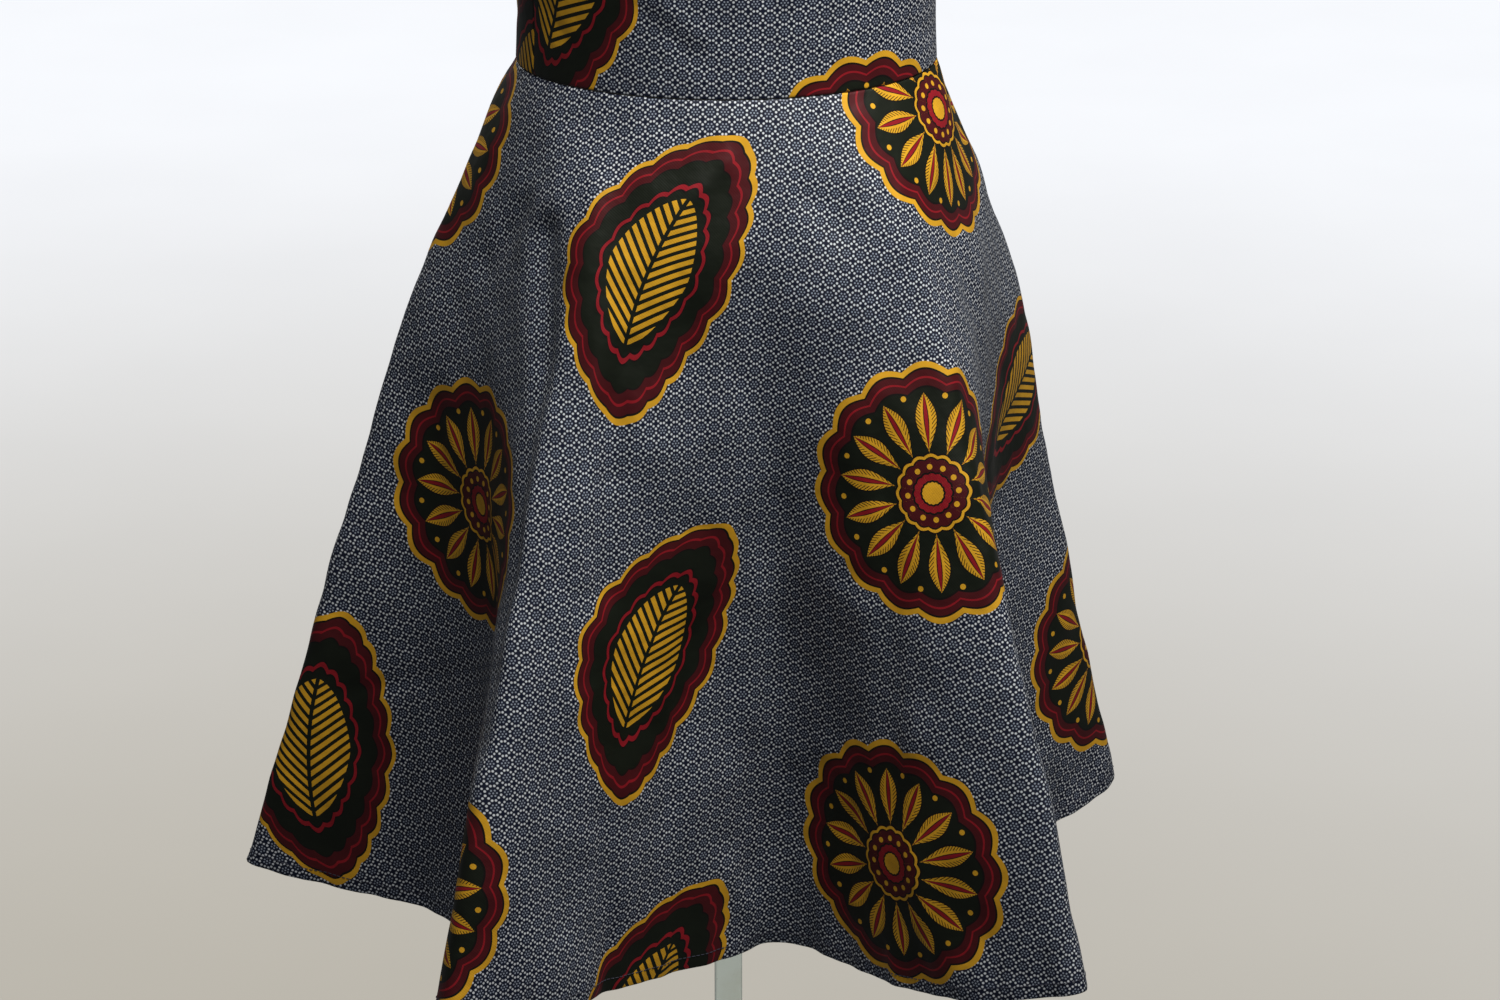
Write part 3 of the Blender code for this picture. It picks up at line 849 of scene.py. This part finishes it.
def leaf(place, below):
    """Pointed leaf with a scalloped rim; slanting veins fill its heart."""
    centre = (FLOWER_AT[0] + REPEAT_ACROSS / 2, FLOWER_AT[1] + REPEAT_DOWN / 2)
    lean = {"Vector": in_repeat(place, centre, REPEAT_ACROSS, REPEAT_DOWN), "Angle": LEAF_LEAN}
    turned = put(place.tree, "VectorRotate", lean, rotation_type="Z_AXIS")
    x, y = put(place.tree, "SeparateXYZ", {0: turned}, (0, 1))
    aside = abs(x - y * y * LEAF_BOW + LEAF_ASIDE)
    across = aside / LEAF_HALF_WIDTH
    end = abs(y) / LEAF_HALF_LENGTH
    reach = (across**LEAF_POINT + end**LEAF_POINT) ** (1 / LEAF_POINT)
    scallop = abs((end.angle_from(across) * LEAF_SCALLOPS).cosine())
    calm = (end**LEAF_TIP * -1.0 + 1.0).at_least(0.0)
    rim = reach * (scallop * calm * -SCALLOP_DEPTH + 1.0)
    vein_lines = (y - aside * LEAF_VEIN_SLANT) / LEAF_VEIN_PITCH % 1.0
    veins = (vein_lines < LEAF_VEIN_SHARE) * (aside > LEAF_RIB) * (reach < LEAF_HEART)
    return layered(below, (rim < 1.0, layered(banded(rim, LEAF_BANDS), (veins, MUSTARD))))


def printed_cotton():
    """Plain-woven cotton, wax-resist printed and calendered: crisp dyes and a slight polish."""
    material, place = new_material(
        "wax-resist printed cotton, calendered",
        on_cloth=True,
        Specular_IOR_Level=0.28,
        Sheen_Weight=0.02,
        Sheen_Roughness=0.4,
    )
    tree = place.tree
    turns = put(tree, "VectorMath", {0: place, "Scale": np.pi / WEAVE_PITCH}, operation="SCALE")
    waves = put(tree, "VectorMath", {0: turns}, operation="SINE")
    over, under = put(tree, "SeparateXYZ", {0: waves}, (0, 1))
    threads = over * under + cloudy(place, 0.0045, detail=4.0)
    # Small puckers some 11 mm across, too fine for the mesh
    puckers = cloudy(place, 0.011, detail=2.0)
    # The dye takes a little unevenly in clouds some 15 mm across, made strong enough to be partly
    # painted shade and sheen of soft puckers as well
    tone = cloudy(place, 0.015, 0.87, 1.09)
    # The polish is worn in patches some 40 mm across
    polish = cloudy(place, 0.040, 0.46, 0.60, 4.0)
    dyes = flower(place, leaf(place, dotted_ground(place)))
    relief = threads * THREAD_SHARE + puckers * PUCKER_SHARE
    return finish(material, dyes, tone, relief, 0.0001, roughness=polish)


def sewing_thread():
    """Spun cotton sewing thread, dyed navy: a soft sheen and a twist of about 0.5 mm."""
    material, place = new_material(
        "spun cotton sewing thread, dyed", Roughness=0.6, Sheen_Weight=0.3
    )
    tone = cloudy(place, 0.0005, 0.7, 1.4)
    return finish(material, linear("#20233A")[:3], tone, cloudy(place, 0.0005), 0.0001)


def knitted_jersey():
    """Close cotton jersey stretched over foam: fine upright wales and a soft, fuzzy surface."""
    material, place = new_material(
        "knitted cotton jersey, stretched",
        on_cloth=True,
        Roughness=0.88,
        Specular_IOR_Level=0.3,
        Sheen_Weight=0.25,
        Sheen_Roughness=0.6,
    )
    run, up = put(place.tree, "SeparateXYZ", {0: place}, (0, 1))
    wale = abs((run * (np.pi / WALE_PITCH)).sine())
    knit = wale + (up * (2 * np.pi / COURSE_PITCH) + wale).sine() * COURSE_SHARE
    tone = cloudy(place, 0.030, 0.97, 1.02, 6.0)
    return finish(material, linear("#CFC5B2")[:3], tone, knit, 0.00025, 0.6)


def turned_beech():
    """Beech turned on a lathe and lacquered: pink-brown rings with short dark flecks."""
    material, place = new_material(
        "beech, turned and lacquered", Roughness=0.38, Coat_Weight=0.4, Coat_Roughness=0.2
    )
    tree = place.tree
    # Growth rings some 2.5 mm wide round a heart that lies 35 mm to the side of the cap
    x, y = put(tree, "SeparateXYZ", {0: place}, (0, 1))
    x = x - WOOD_HEART_ASIDE
    radius = (x * x + y * y) ** 0.5 + cloudy(place, 0.05, detail=2.0) * WOOD_WANDER
    ring = radius / WOOD_RING % 1.0
    late = put(tree, "MapRange", {0: ring, "From Min": 0.45}, interpolation_type="SMOOTHSTEP")
    squeezed = put(tree, "VectorMath", {0: place, 1: WOOD_FLECKS_PER_METRE}, operation="MULTIPLY")
    flecks = cloudy(squeezed, 1.0, 0.72, 1.04, 1.0, 0.30, 0.42)
    return finish(material, layered("#C0905F", (late, "#A06F43")), flecks, ring, 0.00004, 0.5)


def stove_enamel():
    """Pale green enamel sprayed on steel: satin, faintly pebbled, stained and rubbed."""
    material, place = new_material(
        "steel, spray enamelled pale green", Specular_IOR_Level=0.5, Coat_Weight=0.2
    )
    stains = cloudy(place, 0.035, 0.0, 0.35, 6.0, 0.52, 0.72)
    specks = cloudy(place, 0.004, 0.0, 0.5, 2.0, 0.72, 0.78)
    enamel = layered("#DCE7DF", (stains, "#B9B79E"), (specks, "#7A6E58"))
    tone = cloudy(place, 0.12, 0.94, 1.03, 2.0)
    rubbed = cloudy(place, 0.02, 0.34, 0.52, 5.0)
    # Sprayed enamel dries to a faint orange peel with bumps 1.5 mm across
    peel = cloudy(place, 0.0015, detail=1.0)
    return finish(material, enamel, tone, peel, 0.00004, 0.6, rubbed)


def button_resin():
    """Cast polyester button blank, turned and tumbled: near black with smoky clouds."""
    material, place = new_material(
        "cast polyester resin, tumbled", Specular_IOR_Level=0.55, Coat_Weight=0.3
    )
    smoke = cloudy(place, 0.006, 0.0, 1.0, 4.0, 0.42, 0.66)
    # Tumbling leaves hairline scuffs some 0.4 mm apart
    scuffs = cloudy(place, 0.0004, 0.20, 0.34, 2.0)
    resin = layered("#14151D", (smoke, "#3A3C4C"))
    return finish(material, resin, cloudy(place, 0.002, 0.9, 1.1), roughness=scuffs)


def paper_floor():
    """Matt studio paper with painted shade: grey under the stand, fading to nearly white further
    out.
    """
    material, place = new_material(
        "matt studio paper, painted shade under the stand", Roughness=0.9, Specular_IOR_Level=0.2
    )
    tree = place.tree
    inputs = {0: place, 1: PAINTED_SHADE_MIDDLE}
    apart = put(tree, "VectorMath", inputs, "Value", operation="DISTANCE")
    limits = {"From Min": PAINTED_SHADE_FADES_FROM, "From Max": PAINTED_SHADE_GONE_AT}
    outwards = put(tree, "MapRange", {0: apart, **limits}, interpolation_type="SMOOTHSTEP")
    # Painted shade: grey paper colour near the stand, pale white colour further out
    paper = layered("#B3AEA3", (outwards, "#F0F2F6"))
    tone = cloudy(place, 0.4, 0.985, 1.01)
    return finish(material, paper, tone, cloudy(place, 0.002), 0.00005, 0.2)


def panel_rows():
    """Rows of a skirt panel, from the waist down, round the hem's edge and up inside it.

    Gives each row's length down, inset, lean from the outside, and length along the cloth,
    then the number of rows before the edge and the row that the hem is stitched on.
    """
    edge = SKIRT_LENGTH - HEM_ROUND
    body = np.linspace(NEAR_SEAM[-2], edge, BODY_ROWS)
    body = np.unique(np.concatenate([NEAR_SEAM[:-2], body, [SKIRT_LENGTH - HEM_STITCH_UP]]))
    turn = np.linspace(0, np.pi, HEM_ROUND_STEPS)[1:-1]
    on_body = np.zeros(len(body))
    turned = np.ones(len(TURNED_ROWS))
    level = np.concatenate([body, edge + HEM_ROUND * np.sin(turn), SKIRT_LENGTH - TURNED_ROWS])
    inset = np.concatenate([on_body, 1 - np.cos(turn), 2 * turned]) * HEM_ROUND
    lean = np.concatenate([on_body, turn, np.pi * turned])
    cloth_down = np.concatenate([body, edge + HEM_ROUND * turn, SKIRT_LENGTH + TURNED_ROWS])
    stitched = int(np.argmin(np.abs(body - SKIRT_LENGTH + HEM_STITCH_UP)))
    return level, inset, lean, cloth_down, len(body), stitched


def add_skirt_panel(node, rings, start, end, count, cotton, thread):
    """One panel as thin cloth, rolled in at its seams and turned up at its hem, and its stitches."""
    length = np.array([arc_lengths(ring)[-1] for ring in rings])[:, None]
    between = np.linspace(0, 1, count - 2 * len(NEAR_SEAM) + 2)[1:-1]
    first = start + NEAR_SEAM / length
    last = end - NEAR_SEAM[::-1] / length
    middle = first[:, -1:] * (1 - between) + last[:, :1] * between
    fractions = np.hstack([first, middle, last])
    level, inset, lean, cloth_down, body, stitched = panel_rows()
    points = smooth_rows(skirt_surface(rings, fractions), level)
    share = smooth_rows(fractions[:, :, None], level)[:, :, 0]
    ring_length = smooth_rows(length[:, :, None], level)[:, :, 0]
    rows = np.minimum(np.arange(len(level)), body - 1)
    normal = normals_of(points[:body])[rows]
    falling = unit(np.gradient(points[:body], axis=0))[rows]
    down = level[:, None]
    height = skirt_relief(share, down, length[-1, 0])
    from_seam = np.minimum(share - start, end - share) * ring_length
    height -= rolled_in(np.minimum(from_seam, down), SEAM_ROLL, SEAM_DIP)
    height -= inset[:, None]
    cloth = points + normal * height[:, :, None]
    shown = np.cos(lean)[:, None, None] * normal + np.sin(lean)[:, None, None] * falling
    flat = flat_place((GRAIN_AT - share) * SECTOR, cloth_down[:, None])
    panel = add_shell(node + "_cloth", cloth, shown, CLOTH, flat, cotton)
    line = cloth[stitched] + normal[stitched] * CLOTH / 2
    stitches = add_hem_stitches(node + "_hem_stitches", line, normal[stitched], thread)
    return panel, stitches


def add_hem_stitches(name, line, normal, thread):
    """Row of machine stitches along a line on the cloth; each dives in at both ends."""
    run = np.concatenate([[0], np.cumsum(np.linalg.norm(np.diff(line, axis=0), axis=1))])
    count = int((run[-1] - STITCH_PITCH) / STITCH_PITCH)
    starts = np.linspace(STITCH_PITCH / 2, run[-1] - STITCH_PITCH / 2 - STITCH_LENGTH, count)
    place = starts[:, None] + np.linspace(0, STITCH_LENGTH, len(STITCH_LIFTS))[None, :]
    centres = np.stack([np.interp(place, run, line[:, axis]) for axis in range(3)], axis=-1)
    outward = unit(np.stack([np.interp(place, run, normal[:, axis]) for axis in range(3)], axis=-1))
    centres = centres + outward * (STITCH_LIFTS * THREAD_RADIUS)[None, :, None]
    return add_threads(name, centres, outward, THREAD_RADIUS, thread)


def band_surface(distance, up, laps_over):
    """Points of the waistband's middle surface: rows for up, columns for distance round it."""
    lift = np.zeros(len(distance))
    if laps_over:
        lift = (BAND_WALL + SEAM_GAP) * eased((distance + LAP + LAP_MARGIN + LAP_RAMP) / LAP_RAMP)
    rows = []
    for rise, width, depth in zip(up, *ring_sizes(BAND_RINGS, up)):
        plan = along(ellipse(width, depth), distance / BAND_ROUND)
        plan = plan + unit(plan / np.array([width**2, depth**2])) * lift[:, None]
        height = np.full(len(distance), WAIST_HEIGHT + SEAM_GAP / 2 + rise)
        rows.append(np.column_stack([plan, height]))
    return np.array(rows)


def spaced(length, count):
    """Places along a length of the waistband, close together near both of its ends."""
    near = NEAR_SEAM[:-1]
    inner = np.linspace(near[-1], length - near[-1], count)[1:-1]
    return np.concatenate([near, inner, length - near[::-1]])


def add_band_piece(part, cotton):
    """Part of the waistband, of doubled cloth, from one distance to another round it."""
    distance = part.start + spaced(part.end - part.start, part.columns)
    up = spaced(BAND_HEIGHT, BAND_ROWS)[::-1]
    points = band_surface(distance, up, part.laps_over)
    normal = normals_of(points)
    places = np.stack(np.broadcast_arrays(distance[None, :], up[:, None]), axis=-1)
    height = np.zeros(places.shape[:2])
    for row in BAND_DRAGS:
        drag = Drag(*(value * MILLIMETRE for value in row))
        line = ((drag.distance, drag.up), (drag.end_distance, drag.end_up))
        height += soft_line(places, *line, drag.width, drag.height)
    from_side = np.minimum(distance - part.start, part.end - distance)[None, :]
    from_edge = np.minimum(from_side, np.minimum(up, BAND_HEIGHT - up)[:, None])
    height *= eased(from_edge / BAND_CALM)
    height -= rolled_in(np.minimum(from_side, up[:, None]), SEAM_ROLL, BAND_DIP)
    rounding = np.clip(1 - (BAND_HEIGHT - up) / (BAND_CLOTH / 2), 0, 0.98)[:, None]
    thickness = BAND_CLOTH * np.sqrt(1 - rounding**2)
    flat = places * np.array([-1.0, 1.0]) + np.array(part.print_shift)
    cloth = points + normal * height[:, :, None]
    return add_shell(part.node + "_cloth", cloth, normal, thickness, flat, cotton)


def add_buttonholes(thread):
    """Worked buttonholes: close upright stitches over and under each slit."""
    distance = np.linspace(BUTTONHOLE_START, BUTTONHOLE_END, BUTTONHOLE_STITCHES)
    lift = (BAND_CLOTH / 2 + STITCH_LIFTS * THREAD_RADIUS)[:, None, None]
    centres = []
    outward = []
    for number in range(BUTTON_COUNT):
        low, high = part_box(f"button_{number + 1}")
        middle = (low[2] + high[2]) / 2 - WAIST_HEIGHT - SEAM_GAP / 2
        for side in (-1, 1):
            reach = np.linspace(0, side * BUTTONHOLE_STITCH, len(STITCH_LIFTS))
            up = middle + side * BUTTONHOLE_HALF + reach
            points = band_surface(distance, up[::-1], True)
            normal = normals_of(points)
            centres.append((points + normal * lift).transpose(1, 0, 2))
            outward.append(normal.transpose(1, 0, 2))
    centres = np.concatenate(centres)
    outward = np.concatenate(outward)
    return add_threads("buttonhole_stitches", centres, outward, THREAD_RADIUS, thread)


def arc(out, up, radius, rise, turns):
    """Part of a profile of radii and heights, curved round a place this far out and up."""
    return [(out + radius * np.cos(turn), up + rise * np.sin(turn)) for turn in turns]


def ring_points(profile, sides):
    """Points of the rings that a profile makes round z."""
    turn = np.linspace(0, 2 * np.pi, sides, endpoint=False)
    points = []
    for radius, height in profile:
        points += zip(radius * np.cos(turn), radius * np.sin(turn), [height] * sides)
    return points


def turned_solid(profile, sides):
    """Points and faces of a solid of revolution round z, from its lowest point on the axis up."""
    foot, *rings, tip = profile
    points = [(0.0, 0.0, foot[1]), *ring_points(rings, sides), (0.0, 0.0, tip[1])]
    last = len(points) - 1
    faces = ring_quads(len(rings), sides, 1)
    for j in range(sides):
        k = (j + 1) % sides
        faces.append((0, 1 + k, 1 + j))
        faces.append((last - sides + j, last - sides + k, last))
    return np.array(points), faces


def button_profile(radius, thickness):
    """Profile of a button with a rounded rim and a dished face."""
    bend = BUTTON_ROUNDING
    face = thickness - bend
    quarter = np.linspace(0, np.pi / 2, 6)
    profile = [(0.0, 0.0)]
    profile += arc(radius - bend, bend, bend, bend, quarter - np.pi / 2)
    profile += arc(radius - bend, face, bend, bend, quarter)
    for share in np.linspace(0, 1, 6):
        out = radius * (BUTTON_RIM_SHARE + (BUTTON_DISH_SHARE - BUTTON_RIM_SHARE) * share)
        profile.append((out, thickness - bend * eased(share)))
    return profile + [(0.0, face)]


def drill_hole(button, place):
    """Cuts a round hole through a button that lies at the origin."""
    bore = [(0, DRILL_FROM), (HOLE_RADIUS, DRILL_FROM), (HOLE_RADIUS, DRILL_TO), (0, DRILL_TO)]
    points, faces = turned_solid(bore, HOLE_SIDES)
    cutter = add_mesh("drill", points + np.array(place), faces, button.data.materials[0])
    cut = button.modifiers.new("hole", "BOOLEAN")
    cut.operation = "DIFFERENCE"
    cut.solver = "EXACT"
    cut.object = cutter
    shaped = button.evaluated_get(bpy.context.evaluated_depsgraph_get())
    drilled = bpy.data.meshes.new_from_object(shaped)
    button.modifiers.clear()
    button.data = drilled
    bpy.data.objects.remove(cutter)


def add_button(number, resin, thread):
    """Four-hole button on the lap, with its sewing thread; the face looks to the back."""
    low, high = (np.array(corner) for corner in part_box(f"button_{number}"))
    centre = (low + high) / 2
    radius = (high[0] - low[0]) / 2
    thickness = high[1] - low[1]
    facing = np.array([[-1.0, 0.0, 0.0], [0.0, 0.0, 1.0], [0.0, 1.0, 0.0]])
    seat = np.array([centre[0], low[1], centre[2]])
    points, faces = turned_solid(button_profile(radius, thickness), BUTTON_SIDES)
    button = add_mesh(f"button_{number}_turned", points, faces, resin)
    for x in (-HOLE_OFF_CENTRE, HOLE_OFF_CENTRE):
        for y in (-HOLE_OFF_CENTRE, HOLE_OFF_CENTRE):
            drill_hole(button, (x, y, 0.0))
    placed = np.eye(4)
    placed[:3, :3] = facing
    placed[:3, 3] = seat
    button.data.transform(Matrix(placed))
    button.data.shade_smooth()
    button.data.set_sharp_from_angle(angle=np.radians(35))
    face = thickness - BUTTON_ROUNDING
    centres = []
    for x in (-HOLE_OFF_CENTRE, HOLE_OFF_CENTRE):
        for across in (x - BUTTON_THREAD, x + BUTTON_THREAD):
            row = [(across, y * HOLE_OFF_CENTRE, face + z) for y, z in THREAD_ARCH]
            centres.append(np.array(row) @ facing.T + seat)
    centres = np.array(centres)
    outward = np.broadcast_to(np.array([0.0, 1.0, 0.0]), centres.shape)
    sewn = add_threads(f"button_{number}_thread", centres, outward, BUTTON_THREAD, thread)
    return button, sewn


def add_neck_cap(beech):
    """Turned cap with a rounded edge and a small knob on a waisted stem."""
    low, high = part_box("form_neck_cap")
    height = high[2] - low[2]
    shoulder = CAP_THICKNESS - CAP_ROUNDING
    knob = CAP_THICKNESS + (height - CAP_THICKNESS) * KNOB_MIDDLE_SHARE
    cove = (STEM_RADIUS + STEM_COVE, CAP_THICKNESS + STEM_COVE)
    quarter = np.linspace(0, np.pi / 2, 7)
    from_stem = np.linspace(-np.arccos(STEM_RADIUS / KNOB_RADIUS), np.pi / 2, 16)[:-1]
    profile = CAP_FOOT + [(CAP_RADIUS, shoulder)]
    profile += arc(CAP_RADIUS - CAP_ROUNDING, shoulder, CAP_ROUNDING, CAP_ROUNDING, quarter[1:])
    profile += arc(*cove, STEM_COVE, STEM_COVE, -np.pi / 2 - quarter)
    profile += arc(0.0, knob, KNOB_RADIUS, height - knob, from_stem)
    points, faces = turned_solid(profile + [(0.0, height)], CAP_SIDES)
    place = np.array([0.0, 0.0, low[2]])
    return add_mesh("form_neck_cap_turned", points + place, faces, beech, smooth_below=40)


def add_form(jersey):
    """Torso of the dress form, its rings joined by smooth curves, in a jersey cover."""
    up = np.linspace(FORM_RINGS[0].up, FORM_RINGS[-1].up, FORM_ROWS)[::-1]
    widths, depths = ring_sizes(FORM_RINGS, up)
    turn = np.linspace(0, 2 * np.pi, FORM_COLUMNS, endpoint=False)
    x = widths[:, None] * np.sin(turn)
    y = depths[:, None] * np.cos(turn)
    z = np.broadcast_to(WAIST_HEIGHT + up[:, None], x.shape)
    points = np.stack([x, y, z], axis=-1).reshape(-1, 3)
    quads = ring_quads(FORM_ROWS, FORM_COLUMNS)
    top = range(FORM_COLUMNS - 1, -1, -1)
    foot = range((FORM_ROWS - 1) * FORM_COLUMNS, FORM_ROWS * FORM_COLUMNS)
    row, column = np.divmod(np.concatenate([np.ravel(quads), top, foot]), FORM_COLUMNS)
    # The last faces of a row run on past the cover's end, and not back to its start
    corners = column[: 4 * len(quads)].reshape(-1, 4)
    corners[:, 1:3] = corners[:, :1] + 1
    flat = np.stack([column / FORM_COLUMNS * JERSEY_ROUND, up[row]], axis=1)
    faces = quads + [top, foot]
    return add_mesh("dress_form_body", points, faces, jersey, smooth_below=50, flat=flat)


def add_skirt(cotton, thread):
    """Three panels, each a sector of a ring in flat cloth, with hem stitches."""
    rings = skirt_rings()
    panels = [
        ("skirt_front", SKIRT_SEAM_LEFT, SKIRT_SEAM_RIGHT, FRONT_COLUMNS),
        ("skirt_back_left", 0.0, SKIRT_SEAM_LEFT, BACK_COLUMNS),
        ("skirt_back_right", SKIRT_SEAM_RIGHT, 1.0, BACK_COLUMNS),
    ]
    for node, start, end, count in panels:
        piece, stitches = add_skirt_panel(node, rings, start, end, count, cotton, thread)
        for thing in (piece, stitches):
            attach(thing, "root")
        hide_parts(node)


BandPart = namedtuple("BandPart", "node start end columns print_shift laps_over")


def add_band(cotton, thread):
    """Waistband in three pieces, with its buttonholes at the centre back."""
    left = BAND_SEAM_LEFT * BAND_ROUND
    right = BAND_SEAM_RIGHT * BAND_ROUND
    parts = [
        BandPart("band_front", left, right, 150, (0.42, 0.05), False),
        BandPart("band_back_left", -LAP, left, 90, (0.30, 0.02), False),
        BandPart("band_back_right", right - BAND_ROUND, LAP, 110, (0.11, 0.12), True),
    ]
    holes = add_buttonholes(thread)
    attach(holes, "root")
    for part in parts:
        piece = add_band_piece(part, cotton)
        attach(piece, "root")
        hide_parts(part.node)


def add_buttons(resin, thread):
    for number in range(1, BUTTON_COUNT + 1):
        button, sewn = add_button(number, resin, thread)
        for thing in (button, sewn):
            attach(thing, "root")
        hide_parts(f"button_{number}")


STEEL_NODES = ("stand_base", "stand_flange", "stand_foot", "stand_pole")


def dress_stand(paint, jersey, beech):
    """The form and its cap are finer meshes; the steel keeps its solids' own shapes."""
    covers = [
        (add_form(jersey), "form_torso", "form_jersey"),
        (add_neck_cap(beech), "form_neck_cap", "turned_beech"),
    ]
    for piece, node, slot in covers:
        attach(piece, "root")
        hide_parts(node)
    for node in STEEL_NODES:
        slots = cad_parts[node].data.materials
        slots.clear()
        slots.append(paint)


def add_floor(paper):
    """Round paper floor that sweeps up far out, so that it fills the view from any side."""
    sweep = arc(FLOOR_RADIUS, FLOOR_RADIUS, FLOOR_RADIUS, FLOOR_RADIUS, FLOOR_SWEEP)
    points = [(0.0, 0.0, 0.0)] + ring_points(sweep, FLOOR_SIDES)
    faces = [(0, 1 + j, 1 + (j + 1) % FLOOR_SIDES) for j in range(FLOOR_SIDES)]
    faces += [quad[::-1] for quad in ring_quads(len(FLOOR_SWEEP), FLOOR_SIDES, 1)]
    floor = add_mesh("floor", points, faces, paper, smooth_below=40)
    # Its own bounce is left out, as the even sky and the low lamp give that fill
    floor.visible_diffuse = False
    floor.visible_glossy = False
    return floor


def add_lamp(lamp, place, towards, things, state):
    """Lamp that isn't seen itself and lights these things alone, or all but them."""
    thing = bpy.data.objects.new(lamp.name, lamp)
    thing.location = place
    aim = Vector(towards) - Vector(place)
    thing.rotation_euler = aim.to_track_quat("-Z", "Y").to_euler()
    thing.visible_camera = False
    linked = bpy.data.collections.new(lamp.name + " linking")
    for other in things:
        linked.objects.link(other)
    for member in linked.collection_objects:
        member.light_linking.link_state = state
    thing.light_linking.receiver_collection = linked
    bpy.context.scene.collection.objects.link(thing)


def add_disk(disk, things, state):
    """Round soft lamp."""
    lamp = bpy.data.lights.new(disk.name, "AREA")
    lamp.shape = "DISK"
    lamp.size = disk.size
    lamp.energy = disk.power
    lamp.color = linear("#FFFBF4")[:3]
    add_lamp(lamp, disk.place, disk.towards, things, state)


def add_lights(floor):
    """Soft key from high on the wearer's left front, a back one, a low fill for the stand's
    steel, an even light for the floor alone, and a pale sky."""
    add_disk(KEY, [floor], "EXCLUDE")
    add_disk(BACK_KEY, [floor], "EXCLUDE")
    add_disk(LOW_FILL, [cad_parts[node] for node in STEEL_NODES], "INCLUDE")
    overhead = bpy.data.lights.new("floor light", "SUN")
    overhead.energy = FLOOR_LIGHT
    overhead.angle = np.radians(FLOOR_LIGHT_SPREAD)
    add_lamp(overhead, (0.0, 0.0, FLOOR_LIGHT_HEIGHT), (0.0, 0.0, 0.0), [floor], "INCLUDE")
    world = bpy.data.worlds.new("pale sky")
    world.use_nodes = True
    sky = world.node_tree.nodes["Background"]
    sky.inputs["Color"].default_value = linear("#F2F4F8")
    sky.inputs["Strength"].default_value = SKY_STRENGTH
    bpy.context.scene.world = world
    bpy.context.scene.view_settings.view_transform = "Standard"


def add_camera():
    """Eye-height camera before the skirt, looking down at it."""
    lens = bpy.data.cameras.new("camera")
    lens.sensor_width = CAMERA_SENSOR
    lens.lens = CAMERA_LENS
    camera = bpy.data.objects.new("camera", lens)
    camera.location = CAMERA_PLACE
    camera.rotation_euler = np.radians(CAMERA_TURN)
    bpy.context.scene.collection.objects.link(camera)
    bpy.context.scene.camera = camera


BAND_ROUND = arc_lengths(ellipse(BAND_RINGS[0].half_width, BAND_RINGS[0].half_depth))[-1]

add_camera()
add_lights(add_floor(paper_floor()))
printed = printed_cotton()
navy_thread = sewing_thread()
add_skirt(printed, navy_thread)
add_band(printed, navy_thread)
add_buttons(button_resin(), navy_thread)
dress_stand(stove_enamel(), knitted_jersey(), turned_beech())
